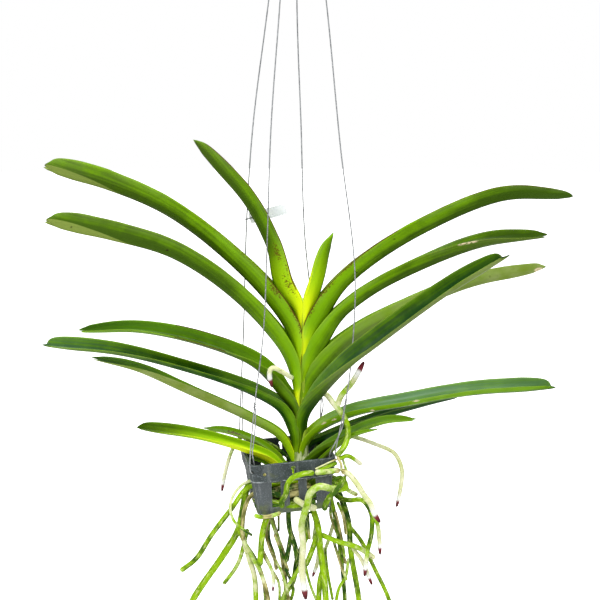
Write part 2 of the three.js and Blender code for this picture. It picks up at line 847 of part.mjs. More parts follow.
function freeRoot(root, extra) {
  const tubes = [root, ...(root.branches ?? [])];
  return joined(tubes.map((tube) => solidOf(rootGeometry(tube, 6, extra))));
}

// The crown is the knot of root bases round the foot of the stem, resting on the basket's floor.
function crownSolid(extra) {
  const { wide, deep, tall, z } = CROWN;
  const knot = new THREE.SphereGeometry(1, 10, 8).rotateX(Math.PI / 2);
  knot.scale(wide + extra, deep + extra, tall + extra);
  return solidOf(knot.translate(STEM.x, 0, z));
}

// ---------- Assembly ----------
const MATERIALS = {
  leaf: { color: 0x5f9a1e, roughness: 0.42, metalness: 0 },
  stem: { color: 0xa8b85a, roughness: 0.8, metalness: 0 },
  root: { color: 0x9db24a, roughness: 0.75, metalness: 0 },
  basket: { color: 0x4b5055, roughness: 0.6, metalness: 0 },
  wire: { color: 0x9a9ea2, roughness: 0.4, metalness: 0.9 },
  tag: { color: 0xf2f3f1, roughness: 0.45, metalness: 0 },
};

const orchid = new THREE.Group();
const hung = new THREE.Group(); // everything below is placed from the middle of the basket's rim
hung.position.set(RIM_SHIFT, 0, -RIM_DROP);
orchid.add(hung);

function place(name, geometry, material, group = hung) {
  const mesh = new THREE.Mesh(geometry, new THREE.MeshStandardMaterial(MATERIALS[material]));
  mesh.name = name;
  group.add(mesh);
  return mesh;
}

const basketGroup = new THREE.Group();
basketGroup.rotation.copy(basketTurn);
hung.add(basketGroup);
place("basket", geometryOf(basketSolid()), "basket", basketGroup);

place("hanger_hook", hookGeometry(), "wire");
for (const [name, wire] of Object.entries(WIRE_ROUTES))
  place(name, wireTube(wirePoints(wire), WIRE.radius, 6, 2), "wire");

// The tag hangs behind the leaves, tied to the back left wire where that wire passes TAG.height.
const tiedWire = stationsAlong(wirePoints(WIRE_ROUTES.wire_back_left), 24);
const tiePoint = tiedWire.find((station) => station.at.z < TAG.height).at;
const tagGroup = new THREE.Group();
tagGroup.position.copy(tiePoint);
tagGroup.rotation.y = degrees(-TAG.slope);
hung.add(tagGroup);
place("tag_tie", tieGeometry(), "wire", tagGroup);
place("name_tag", tagGeometry(), "tag", tagGroup);

place("stem", skinOver(stemRings(0), fanCap), "stem");
for (const [name, leaf] of Object.entries(LEAVES)) place(name, seatedLeaf(leaf), "leaf");

const stemRoom = solidOf(skinOver(stemRings(CLEAR), fanCap));
const mass = crownSolid(0).add(hangingRoots(0)).subtract(stemRoom);
place("roots_hanging", geometryOf(mass), "root");
let taken = crownSolid(CLEAR).add(hangingRoots(CLEAR)).add(stemRoom);
for (const [name, root] of Object.entries(FREE_ROOTS)) {
  place(name, geometryOf(freeRoot(root, 0).subtract(taken)), "root");
  taken = taken.add(freeRoot(root, CLEAR));
}

export default orchid;
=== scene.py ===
from bisect import bisect
from math import cos, exp, pi, radians, sin, sqrt, tau

import bmesh
import bpy
from mathutils import Matrix, Vector, noise
from mathutils.geometry import interpolate_bezier


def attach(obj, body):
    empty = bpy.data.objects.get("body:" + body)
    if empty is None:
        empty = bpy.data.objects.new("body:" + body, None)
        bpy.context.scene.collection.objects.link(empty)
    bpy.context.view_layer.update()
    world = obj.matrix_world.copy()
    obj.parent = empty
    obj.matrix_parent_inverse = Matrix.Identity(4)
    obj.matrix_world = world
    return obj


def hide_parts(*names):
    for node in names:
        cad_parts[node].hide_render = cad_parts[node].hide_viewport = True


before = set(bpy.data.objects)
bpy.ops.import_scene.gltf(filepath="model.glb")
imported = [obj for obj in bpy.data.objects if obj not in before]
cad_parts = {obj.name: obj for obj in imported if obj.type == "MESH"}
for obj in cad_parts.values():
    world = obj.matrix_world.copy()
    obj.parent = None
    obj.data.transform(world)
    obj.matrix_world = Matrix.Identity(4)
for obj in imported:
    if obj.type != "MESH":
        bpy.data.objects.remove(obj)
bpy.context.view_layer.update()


# ---- Studio
# The orchid hangs in a white studio: a pale floor a hand below the root tips, a broad soft light
# overhead and another from the front left. The camera looks down on it a little, from the front.
scene = bpy.context.scene
scene.view_settings.view_transform = "Standard"

camera_data = bpy.data.cameras.new("camera")
camera_data.lens = 84
camera_data.sensor_width = 36
camera = bpy.data.objects.new("camera", camera_data)
camera.location = (0.003, -1.3694, -0.2679)
camera.rotation_euler = (radians(78), 0, 0)
scene.collection.objects.link(camera)
scene.camera = camera

world = bpy.data.worlds.new("studio_air")
scene.world = world
world.use_nodes = True
air = world.node_tree.nodes["Background"]
air.inputs["Color"].default_value = (1, 1, 1, 1)
seen = world.node_tree.nodes.new("ShaderNodeLightPath").outputs["Is Camera Ray"]
strength = world.node_tree.nodes.new("ShaderNodeMapRange")
world.node_tree.links.new(seen, strength.inputs["Value"])
strength.inputs["To Min"].default_value = 0.3
strength.inputs["To Max"].default_value = 1.0
world.node_tree.links.new(strength.outputs[0], air.inputs["Strength"])


def soft_light(name, power, size, place, aim):
    lamp = bpy.data.lights.new(name, "AREA")
    lamp.shape = "DISK"
    lamp.energy = power
    lamp.size = size
    light = bpy.data.objects.new(name, lamp)
    light.location = place
    light.rotation_euler = (Vector(aim) - Vector(place)).to_track_quat("-Z", "Y").to_euler()
    scene.collection.objects.link(light)


soft_light("overhead_light", 30, 1.6, (0.1, -0.1, 1.1), (0, 0, -0.5))
soft_light("front_light", 16, 1.0, (-1.3, -1.9, 0.5), (0, 0, -0.5))

sun_data = bpy.data.lights.new("fill_light", "SUN")
sun_data.energy = 1.9
sun_data.angle = radians(60)
sun = bpy.data.objects.new("fill_light", sun_data)
sun.rotation_euler = (radians(38), radians(8), 0)
scene.collection.objects.link(sun)

FLOOR = -1.125
bm = bmesh.new()
bmesh.ops.create_circle(bm, cap_ends=True, segments=96, radius=6)
bmesh.ops.translate(bm, verts=bm.verts, vec=(0, 0, FLOOR))
floor_mesh = bpy.data.meshes.new("studio_floor")
bm.to_mesh(floor_mesh)
bm.free()
floor = bpy.data.objects.new("studio_floor", floor_mesh)
scene.collection.objects.link(floor)
floor_paint = bpy.data.materials.new("pale_floor")
floor_paint.use_nodes = True
floor_shader = floor_paint.node_tree.nodes["Principled BSDF"]
floor_shader.inputs["Base Color"].default_value = (0.93, 0.93, 0.92, 1)
floor_shader.inputs["Roughness"].default_value = 0.9
floor_shader.inputs["Emission Color"].default_value = (1, 1, 1, 1)
floor_seen = floor_paint.node_tree.nodes.new("ShaderNodeLightPath").outputs["Is Camera Ray"]
floor_paint.node_tree.links.new(floor_seen, floor_shader.inputs["Emission Strength"])
floor_mesh.materials.append(floor_paint)


# ---- Strap leaves
# Two ranks of long leathery leaves, folded along the keel, clasp the stem one over another.
# Each keeps a groove down its inner face, and most end in two uneven lobes. The sheaths and the
# youngest leaves are lime green.
MM = 0.001
RIM = Vector((-0.011, 0, -0.715))  # middle of the basket's rim: all tables are millimetres from it
# What a leaf is like where its own entry says nothing else.
USUAL_LEAF = dict(
    waist=0.84,  # how wide it leaves the sheath, as a share of its width
    taper=38,  # the length over which the tip narrows
    blunt=0.3,  # how wide its tip ends, likewise
    tongue=None,  # a tip drawn out at the keel: length, share of the far arm and of the near one
    heel=0,  # how far the keel bulges where it leaves the sheath
    far_lime=1,  # how lime green the far arm is, where the near one is 1
    outer_painted_shade=0,  # painted shade that deepens the green outside; below 0 it paints it lighter
    pale=(0, 0, 0),  # how grey and pale it is outside, partly painted reflection of the pale floor
    back=0.4,  # the same for the far arm alone
    frost=(0, 0, 0),  # a dull grey wax inside, partly painted sheen
    shade=0,  # 1 for a very dark green where it is deep
    strip=(2, 0),  # where the far side starts to show past the keel, and how far
    edge=[],  # brown margins: start, end, strength
    freckles=[],  # where along and across, length, share of an arm, strength
    scars=[],  # the same for nicks, without the strength
    specks=[],  # dark dots: where along and across
)
# The path runs from the sheath's mouth to the tip, and half is half the flattened width. Threes go
# for base, middle and tip: degrees of roll, degrees that the arms open, how deep the green is. Lime
# says how lime green it is in the sheath and at its mouth, and over what length that fades.
LEAVES = {
    "left_1": dict(
        path=[(15, 0, 151), (1, 0, 170), (-12, 0, 212), (-35, 0, 257), (-64, 4, 290), (-88, 8, 313)],
        half=15.5, roll=(0, -5, -12), open=(21, 30, 38), taper=60, heel=4,
        lime=(1, 0.9, 90), deep=(0.1, 0.75, 0.85), pale=(0, 0, 0.1), edge=[(0.08, 0.96, 1)],
        freckles=[(0.31, -0.6, 10, 0.22, 0.9), (0.13, -0.75, 15, 0.2, 0.85),
                  (0.22, -0.85, 14, 0.12, 0.7), (0.2, 0.7, 12, 0.2, 0.8)],
    ),
    "left_2": dict(
        path=[(15, 0, 110), (-6, 0, 150), (-47, 0, 196), (-113, 6, 247), (-174, 14, 272),
              (-238, 22, 287)],
        half=19, roll=(0, -9, -37), open=(23, 34, 40),
        lime=(0.6, 0.45, 45), deep=(0.2, 0.65, 0.8), pale=(0, 0, 0.1), strip=(0.7, 0.5),
        edge=[(0.03, 0.24, 1), (0.2, 0.55, 0.5)],
        freckles=[(0.19, -0.88, 12, 0.18, 1), (0.1, -0.97, 16, 0.12, 1), (0.055, -0.95, 12, 0.12, 1),
                  (0.12, 0.9, 20, 0.12, 0.9)],
    ),
    "left_3": dict(
        path=[(15, 0, 73), (-2, 0, 111), (-48, -2, 164), (-109, -6, 207), (-170, -12, 226),
              (-232, -16, 238)],
        half=18.5, roll=(0, -13, -39), open=(35, 34, 40),
        lime=(1, 0.25, 25), deep=(-0.1, 0.9, 1.05), pale=(0, 0, 0.05), back=0.25, strip=(0.68, 0.55),
        scars=[(0.86, -0.72, 3.5, 0.04)],
        specks=[(0.62, -0.35), (0.36, -0.5), (0.88, -0.12), (0.925, -0.18)],
    ),
    "left_4": dict(
        path=[(15, 0, 43), (-2, 0, 63), (-29, -3, 91), (-80, -4, 114), (-149, 0, 127),
              (-206, 6, 123)],
        half=15, roll=(0, 55, 57), open=(23, 23, 12),
        # painted light: the deep green goes below 0 at the tip to lighten its shaded face
        lime=(0.35, 0.1, 20), deep=(0.45, 0.6, -0.7), outer_painted_shade=0.4, back=0, frost=(0, 0.1, 0.35),
        edge=[(0.4, 0.62, 0.9)],
        freckles=[(0.5, -0.95, 14, 0.08, 0.8)],
    ),
    "left_5": dict(
        path=[(15, 0, 14), (-1, 0, 42), (-33, 0, 62), (-108, -10, 91), (-170, -24, 110),
              (-234, -38, 120)],
        half=12, waist=1.1, roll=(0, 38, 39), open=(23, 18, 34), taper=30, blunt=0.45,
        tongue=(5, 0.25, 0.9),
        lime=(0.3, 0.12, 20), deep=(0.7, 1.0, 0.75), pale=(0, 0, 0.2), back=0.15, frost=(0.6, 0, 0.4),
        shade=1, edge=[(0.3, 0.6, 0.3)],
    ),
    "left_6": dict(
        path=[(15, 0, -15), (-3, 2, 12), (-33, 6, 30), (-96, 12, 58), (-152, 16, 81), (-196, 18, 91)],
        half=9, roll=(0, -8, 50), open=(25, 22, 23),
        lime=(0.6, 0.75, 70), deep=(0.1, 0.4, 0.7), pale=(0.15, 0.9, 0.9), frost=(0, 0, 0.5),
    ),
    "left_7": dict(
        path=[(15, -8, -26), (0, -9, -19), (-15, -9, -8), (-38, -12, 3), (-88, -22, 21),
              (-147, -34, 34)],
        half=10, roll=(0, 28, 39), open=(31, 31, 36), taper=30, tongue=(1, 1, 1),
        lime=(1.3, 1.95, 184), far_lime=0.22, deep=(0.4, 0.8, 1.1), back=0,
    ),
    "left_8": dict(
        path=[(15, 7, -24), (2, 10, -20), (-8, 12, -12), (-35, 14, 5), (-59, 16, 13), (-83, 18, 16)],
        half=7, roll=(0, 19, 29), open=(31, 36, 41),
        lime=(0.5, 0.4, 80), deep=(0.2, 0.4, 0.5), pale=(0, 0.5, 0.6),
        freckles=[(0.72, 0.2, 10, 0.5, 1), (0.3, -0.4, 8, 0.2, 0.8)],
    ),
    "left_9": dict(
        path=[(14, 2, -29), (-2, 4, -24), (-14, 4, -19), (-25, 2, -13), (-37, -2, -8)],
        half=6, roll=(0, 30, 40), open=(30, 40, 50),
        lime=(0.3, 0.2, 30), deep=(0.4, 0.6, 0.8), pale=(0, 0.2, 0.4),
    ),
    "right_1": dict(
        path=[(19, 0, 139), (29, 0, 170), (38, 3, 203), (46, 8, 220)],
        half=14, roll=(0, -1, -1), open=(22, 29, 47),
        lime=(1, 1.2, 85), deep=(0, 0.1, 0.45),
    ),
    "right_2": dict(
        path=[(19, 0, 116), (38, 0, 154), (73, 2, 190), (136, 8, 230), (216, 18, 260),
              (285, 26, 257)],
        half=16, roll=(0, -10, -16), open=(25, 29, 44), taper=105, heel=5,
        lime=(1, 0.8, 24), deep=(0.1, 0.6, 1.2), back=0.1, edge=[(0.04, 0.45, 1), (0.5, 0.95, 0.55)],
        freckles=[(0.1, -0.93, 16, 0.12, 0.7), (0.17, -0.92, 16, 0.12, 0.9),
                  (0.27, -0.94, 20, 0.1, 1)],
        specks=[(0.12, -0.5), (0.2, -0.62), (0.42, -0.7), (0.27, -0.3)],
    ),
    "right_3": dict(
        path=[(19, 0, 87), (39, 0, 127), (78, 3, 162), (129, 8, 189), (194, 14, 212), (259, 18, 218)],
        half=13, roll=(0, -8, 36), open=(22, 29, 34), taper=75, heel=6,
        lime=(0.5, 0.35, 22), deep=(0.2, 0.8, 1.3), pale=(0, 0, 0.25), back=0.15,
        scars=[(0.73, -0.95, 12, 0.1)],
    ),
    "right_4": dict(
        path=[(19, 3, 58), (36, 4, 92), (74, 10, 123), (126, 18, 148), (188, 26, 171),
              (262, 34, 183)],
        half=16, roll=(0, -10, -15), open=(25, 32, 49), heel=6,
        lime=(1, 0.35, 22), deep=(0.5, 0.45, 0.45), pale=(0, 0.5, 0.85), edge=[(0.5, 0.9, 0.35)],
        scars=[(0.975, -0.3, 4, 0.25)],
        specks=[(0.77, -0.45), (0.8, -0.5), (0.83, -0.4), (0.75, -0.6)],
    ),
    "right_5": dict(
        path=[(19, -1, 21), (23, -12, 50), (50, -38, 91.5), (101, -48, 136), (162, -56, 183),
              (206, -62, 211)],
        half=15, waist=0.72, roll=(-14, 32, 40), open=(21, 38, 21), blunt=0.45, tongue=(8, 0.2, 0.4),
        lime=(0.25, 0.1, 25), deep=(0.7, 1.1, 1.0), pale=(0, 0.5, 0.8), frost=(0.5, 0, 0.1), shade=1,
        edge=[(0.03, 0.12, 0.5)],
    ),
    "right_6": dict(
        path=[(19, 0, -8), (29, -1, 19), (63, -5, 39.5), (119, -20, 56), (186, -38, 73),
              (258.5, -54, 82)],
        half=12.6, roll=(0, 15, 24), open=(41, 41, 30), taper=30, blunt=0.42, tongue=(5, 0.3, 1),
        lime=(0.3, 0.42, 70), far_lime=2.3, deep=(0.5, 0.8, 0.9), outer_painted_shade=-0.4, back=0.1,
        frost=(0, 0.95, 0.5), shade=1,
        scars=[(0.16, -0.9, 3, 0.12), (0.2, -0.8, 3, 0.12), (0.35, -0.6, 2.5, 0.15),
               (0.52, -0.9, 4, 0.12)],
    ),
    "right_7": dict(
        path=[(19, 10, -22), (27, 13, 1), (37, 15, 7), (83, 22, 24), (144, 30, 40), (175, 34, 45)],
        half=8, roll=(0, 8, 19), open=(30, 35, 37),
        lime=(0.3, 0.2, 25), deep=(0.9, 1.3, 1.2), back=0, shade=1,
    ),
    "right_8": dict(
        path=[(19, -10, -17), (31, -11, -4), (46, -6, 8), (72, -11, 23.5), (99, -18, 35),
              (127, -22, 38)],
        half=8.2, roll=(-14, 24, 28), open=(16, 29, 35), taper=50,
        lime=(0.3, 0.1, 30), deep=(1.0, 0.5, 0.1), back=0, frost=(0.2, 0.3, 0),
    ),
    "right_9": dict(
        path=[(22, -6, -27), (31, -12, -16), (42, -17, 0), (52, -20, 10), (68, -24, 22),
              (90, -26, 29)],
        half=4.2, roll=(0, 10, 20), open=(30, 30, 34),
        lime=(0.3, 0.1, 30), deep=(1.0, 0.6, 0.3), pale=(0, 0.4, 0.4),
    ),
}


def tint(red, green, blue):
    """A colour given as it is seen on a display, 0 to 255."""
    channels = [((c / 255 + 0.055) / 1.055) ** 2.4 for c in (red, green, blue)]
    return (*channels, 1)


# The helpers below add nodes to the tree of the material in hand, which is always called tree.
def connect(socket, value):
    """Sets an input to a number or colour, or links another node's output to it."""
    if isinstance(value, bpy.types.NodeSocket):
        tree.links.new(value, socket)
    else:
        socket.default_value = value


def put(kind, inputs, **settings):
    """Adds a node with its inputs set or linked, and gives it back."""
    made = tree.nodes.new("ShaderNode" + kind)
    for name, value in settings.items():
        setattr(made, name, value)
    for name, value in inputs.items():
        connect(made.inputs[name], value)
    return made


def mixed(mask, first, second):
    """The second colour laid over the first where the mask is 1."""
    made = tree.nodes.new("ShaderNodeMix")
    made.data_type = "RGBA"
    for index, value in ((0, mask), (6, first), (7, second)):
        connect(made.inputs[index], value)
    return made.outputs[2]


def maths(kind, first, second=0.0):
    return put("Math", {0: first, 1: second}, operation=kind).outputs[0]


def times(first, second):
    return maths("MULTIPLY", first, second)


def plus(first, second):
    return maths("ADD", first, second)


def swayed(amount, mask, middle=0.5):
    """How far a mask leans to either side of its middle, times an amount."""
    return times(maths("SUBTRACT", mask, middle), amount)


def between(value, low, high, start=0.0, end=1.0):
    """Eases from start to end while the value goes from low to high."""
    inputs = {"Value": value, "From Min": low, "From Max": high, "To Min": start, "To Max": end}
    return put("MapRange", inputs, interpolation_type="SMOOTHSTEP").outputs[0]


def mark(name, kind="Fac"):
    """What a piece's mesh says about itself at each point."""
    return put("Attribute", {}, attribute_name=name).outputs[kind]


def stretched(vector, *scale):
    return put("Mapping", {"Vector": vector, "Scale": scale}).outputs[0]


def noisy(vector, scale, detail):
    return put("TexNoise", {"Vector": vector, "Scale": scale, "Detail": detail}).outputs[0]


def relief(height, strength, distance, **under):
    """Fine relief for the shader's Normal, which can lie on another relief."""
    inputs = {"Height": height, "Strength": strength, "Distance": distance}
    return put("Bump", inputs | under).outputs[0]


def new_material(name):
    made = bpy.data.materials.new(name)
    made.use_nodes = True
    return made, made.node_tree, made.node_tree.nodes["Principled BSDF"]


# Cloudy patches: a mask that is 1 where the noise is high, with an edge between Low and High.
tree = patches = bpy.data.node_groups.new("patches", "ShaderNodeTree")
for socket_name, kind, value in (
    ("Vector", "NodeSocketVector", None),
    ("Scale", "NodeSocketFloat", 50.0),
    ("Detail", "NodeSocketFloat", 3.0),
    ("Low", "NodeSocketFloat", 0.45),
    ("High", "NodeSocketFloat", 0.65),
):
    socket = patches.interface.new_socket(name=socket_name, in_out="INPUT", socket_type=kind)
    if value is not None:
        socket.default_value = value
patches.interface.new_socket(name="Mask", in_out="OUTPUT", socket_type="NodeSocketFloat")
given = patches.nodes.new("NodeGroupInput").outputs
clouds = noisy(given["Vector"], given["Scale"], given["Detail"])
cloud_mask = between(clouds, given["Low"], given["High"])
connect(patches.nodes.new("NodeGroupOutput").inputs["Mask"], cloud_mask)


def patchy(vector, scale, low, high, detail=3.0):
    made = tree.nodes.new("ShaderNodeGroup")
    made.node_tree = patches
    inputs = {"Vector": vector, "Scale": scale, "Detail": detail, "Low": low, "High": high}
    for name, value in inputs.items():
        connect(made.inputs[name], value)
    return made.outputs["Mask"]


leaf_skin, tree, shader = new_material("leaf_skin")
LEAF_MARKS = "across inside lime deep pale frost shade strip blush edge scar".split()
grain = mark("grain", "Vector")
across, inside, lime, deep, pale, frost, shade, strip, blush, edge, scar = (
    mark(name) for name in LEAF_MARKS
)
out = maths("ABSOLUTE", across)
outside = maths("SUBTRACT", 1.0, inside)
vein_noise = noisy(stretched(grain, 14, 620, 1), 1, 2)
streaks = stretched(grain, 9, 420, 1)
streaky = patchy(streaks, 1, 0.3, 0.7)
cloudy = patchy(grain, 55, 0.3, 0.7)
# from fresh to deep green, unevenly, with painted shade darkest along the keel
depth = plus(deep, swayed(0.22, cloudy))
depth = plus(depth, swayed(0.3, streaky))
# painted shade: the green deepens towards the keel, where the folded blade turns away from the light
depth = plus(depth, swayed(0.5, between(out, 0.0, 0.8, 1.0, 0.0), 0.35))
# painted light: the inner faces are painted a lighter green to offset the shade they lie in
depth = plus(depth, times(inside, -0.25))
deepest = mixed(shade, tint(56, 86, 2), tint(16, 62, 4))
green = mixed(between(depth, 0.0, 1.1), tint(114, 162, 2), deepest)
# the leaf's own paler underside, partly painted reflection of the pale floor on the outer faces
under = mixed(cloudy, tint(118, 138, 48), tint(146, 160, 92))
green = mixed(times(pale, outside), green, under)
near_edge = between(out, 0.9, 1.0)
young = times(lime, plus(times(near_edge, 0.7), 1.0))
glow = mixed(between(young, 0.45, 0.95), tint(152, 194, 8), tint(216, 234, 16))
green = mixed(between(young, 0.0, 0.55), green, glow)
# the far side's strip that shows below the keel where a tip turns over
turned = between(maths("SUBTRACT", across, strip), 0.0, 0.05)
green = mixed(times(turned, 0.9), green, tint(128, 146, 66))
# painted sheen: a greyish light laid along the outer margins
painted_margin_sheen = times(between(out, 0.62, 0.95), patchy(grain, 28, 0.35, 0.65))
painted_margin_sheen = times(painted_margin_sheen, outside)
green = mixed(times(painted_margin_sheen, 0.14), green, tint(150, 174, 104))
# grey-green wax on the inner faces, partly painted sheen that lightens them
frost_and_sheen_mask = times(frost, between(streaky, 0.0, 1.0, 0.45, 1.0))
frost_and_sheen_mask = times(frost_and_sheen_mask, inside)
green = mixed(frost_and_sheen_mask, green, tint(104, 146, 100))
green = mixed(times(near_edge, 0.14), green, tint(158, 178, 50))
# purple brown freckles and margins on the leaves that get the most sun
freckles = noisy(grain, 620, 2)
freckled = plus(freckles, times(blush, 0.36))
freckled = times(between(freckled, 0.7, 0.82), between(blush, 0.05, 0.3))
green = mixed(times(freckled, 0.8), green, tint(90, 60, 16))
browned = plus(edge, swayed(0.8, freckles))
browned = times(between(browned, 0.35, 0.75), between(out, 0.955, 0.985))
green = mixed(times(browned, 0.9), green, tint(76, 48, 16))
nick = patchy(grain, 420, 0.3, 0.5)
scarred = times(between(scar, 0.3, 0.6), nick)
green = mixed(scarred, green, tint(222, 204, 168))
speck = between(scar, -0.2, -0.6)
green = mixed(speck, green, tint(40, 32, 12))
connect(shader.inputs["Base Color"], green)
connect(shader.inputs["Roughness"], between(cloudy, 0.0, 1.0, 0.4, 0.5))
shader.inputs["Specular IOR Level"].default_value = 0.06
shader.inputs["Coat Roughness"].default_value = 0.28
waxy = times(inside, between(streaky, 0.0, 1.0, 0.18, 0.5))
connect(shader.inputs["Coat Weight"], waxy)
ribs = relief(vein_noise, 0.35, 0.0004)
connect(shader.inputs["Normal"], relief(freckles, 0.12, 0.0003, Normal=ribs))


def lerp(first, second, part):
    return first + (second - first) * part


def ease(low, high, value):
    """0 below low, 1 above high, and a smooth rise between."""
    part = min(1, max(0, (value - low) / (high - low)))
    return part * part * (3 - 2 * part)


def along_leaf(values, s):
    """A value given at base, middle and tip, eased between them."""
    base, middle, tip = values
    return lerp(base, middle, ease(0, 0.5, s)) if s < 0.5 else lerp(middle, tip, ease(0.5, 1, s))


def smooth_way(points):
    """The length of a smooth curve through the points, and the place at any distance along it."""
    points = [Vector(p) for p in points]
    ends = [2 * points[0] - points[1], *points, 2 * points[-1] - points[-2]]
    dense = []
    for before, start, end, after in zip(ends, ends[1:], ends[2:], ends[3:]):
        lead, gap, rest = (sqrt(d.length) for d in (start - before, end - start, after - end))
        middle = (end - start) / gap
        leave = (start - before) / lead - (end - before) / (lead + gap) + middle
        arrive = middle - (after - start) / (gap + rest) + (after - end) / rest
        handles = start + leave * gap / 3, end - arrive * gap / 3
        dense += interpolate_bezier(start, *handles, end, 25)[:-1]
    dense.append(points[-1])
    reach = [0.0]
    for start, end in zip(dense, dense[1:]):
        reach.append(reach[-1] + (end - start).length)

    def at(distance):
        k = min(bisect(reach, distance), len(reach) - 1)
        k = max(k, 1)
        return dense[k - 1].lerp(dense[k], (distance - reach[k - 1]) / (reach[k] - reach[k - 1]))

    return reach[-1], at


def loft(bm, around, along, place, marks=()):
    """A skin closed all round and at both ends. place(i, j) gives the point at the i-th step round
    and j-th step along, in millimetres from the rim, and what to mark there: the numbers named in
    marks, and with them the grain."""
    layers = {}
    for name in ("grain", *marks) if marks else ():
        kinds = bm.verts.layers.float_vector if name == "grain" else bm.verts.layers.float
        layers[name] = kinds.get(name) or kinds.new(name)
    sheet = bmesh.ops.create_grid(bm, x_segments=around, y_segments=along, size=1)["verts"]
    for vert in sheet:
        i = round((vert.co.x + 1) / 2 * around) % around
        j = round((vert.co.y + 1) / 2 * along)
        point, said = place(i, j)
        vert.co = RIM + point * MM
        for name, value in said.items():
            vert[layers[name]] = value
    bmesh.ops.remove_doubles(bm, verts=sheet, dist=2e-6)
    skin = list({face for vert in sheet if vert.is_valid for face in vert.link_faces})
    bmesh.ops.recalc_face_normals(bm, faces=skin)
    for face in skin:
        face.smooth = True


def set_piece(name, bm, material, slot, *nodes):
    """Makes the shape a piece of the scene that rides on the plant and stands for CAD nodes."""
    mesh = bpy.data.meshes.new(name)
    bm.to_mesh(mesh)
    bm.free()
    mesh.materials.append(material)
    piece = bpy.data.objects.new(name, mesh)
    scene.collection.objects.link(piece)
    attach(piece, "root")
    if nodes:
        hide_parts(*nodes)


ARM_STEPS = 9  # points from the keel to a margin
LEAF_STEP = 2.6  # from ring to ring
KEEL, RIDGE = 2.5, 1.8  # thickness along the keel, and how wide that ridge is
BLADE = 1.6  # thickness of an arm near the keel
MARGIN = 0.35  # how far its rounded margin stands out
TIP_REACH = 14  # how far back the lobes start
FAR_LOBE, NEAR_LOBE, NOTCH = 4.2, 2.6, 4.5  # how far the lobes reach, and how deep the notch is
SHEATH = 30  # each leaf starts this far down inside the older ones
STEM_X = 17
STEM_LEAN, LEAN_TOP = 4.6, 150  # how far the stem's foot stands to the left, and up to what height


def leaf_width(leaf, s, length):
    """Half the flattened width: it widens out of the base and rounds off at the tip."""
    zone = min(leaf["taper"], length * 0.4)
    into = max(0, 1 - (1 - s) * length / zone)
    waist = lerp(leaf["waist"], 1, ease(0, 0.22, s))
    blunt = leaf["blunt"]
    return leaf["half"] * waist * (blunt + (1 - blunt) * sqrt(1 - 0.98 * into * into))


def folded_ring(width, opening, s, body):
    """The blade in section: (across, towards the shoot, share of the arm, inner face)."""
    cup = lerp(24, 12, s)
    lower, upper = opening + cup, max(2, opening - 0.6 * cup)
    thin = min(1, width / 12)
    inner, leans = [Vector((0, 0))], [radians(lower)]
    for k in range(ARM_STEPS):
        lean = radians(lerp(lower, upper, ease(0.25, 0.75, (k + 0.5) / ARM_STEPS)))
        inner.append(inner[-1] + Vector((sin(lean), cos(lean))) * width / ARM_STEPS)
        leans.append(lean)
    outer = []
    for k in range(ARM_STEPS + 1):
        share = k / ARM_STEPS
        ridge = exp(-((share * width / RIDGE) ** 2))
        away = Vector((cos(leans[k]), -sin(leans[k]))).lerp(Vector((0, -1)), ridge).normalized()
        thick = lerp(BLADE * (1 - 0.55 * ease(0.4, 1, share)), KEEL, ridge)
        outer.append(inner[k] + away * thick * thin * body)
    edge = Vector((sin(leans[-1]), cos(leans[-1]))) * MARGIN * body
    rim = (inner[-1] + outer[-1]) / 2 + edge
    middle = (inner[-1].y - KEEL * thin) / 2
    shares = [k / ARM_STEPS for k in range(ARM_STEPS + 1)]
    arm = list(zip(inner, outer, shares))
    ring = [(rim, 1, 1, 0.5)]
    ring += [(point, 1, share, 1) for point, _, share in reversed(arm)]
    ring += [(point, -1, share, 1) for point, _, share in arm[1:]]
    ring += [(rim, -1, 1, 0.5)]
    ring += [(point, -1, share, 0) for _, point, share in reversed(arm)]
    ring += [(point, 1, share, 0) for _, point, share in arm[1:]]
    return [(way * p.x, p.y - middle, way * share, face) for p, way, share, face in ring]


def tip_lead(share, tongue):
    """How far each part of the tip reaches: a notch at the keel between two uneven lobes, or on
    some leaves a tongue along the keel, given by its length and its share of each arm."""
    away = abs(share)
    if tongue:
        long, far, near_side = tongue
        return long * (1 - ease(0, far if share > 0 else near_side, away)) - 2 * away * away
    lobe = FAR_LOBE if share > 0 else NEAR_LOBE
    return lobe * sin(pi * away**0.8) - NOTCH * (1 - ease(0, 0.3, away)) - 2.5 * away * away


def stem_lean(z):
    """How far the stem's foot leans to the left of its top at a height, in millimetres."""
    return -STEM_LEAN * min(1, max(0, 1 - z / LEAN_TOP))


def near(points, s, share, length):
    """How close a place on a leaf is to the nearest of some spots, 1 at a spot's middle."""
    return max([0] + [
        strong * exp(-(((s - at_s) * length / long) ** 2) - ((share - at_share) / wide) ** 2)
        for at_s, at_share, long, wide, strong in points
    ])


def glow_at(leaf, run):
    """How lime green a leaf is at a distance past the mouth of its sheath."""
    sheath, start, reach = leaf["lime"]
    return lerp(start, sheath, ease(0, 14, -run)) * max(0, 1 - max(0, run) / reach) ** 1.3


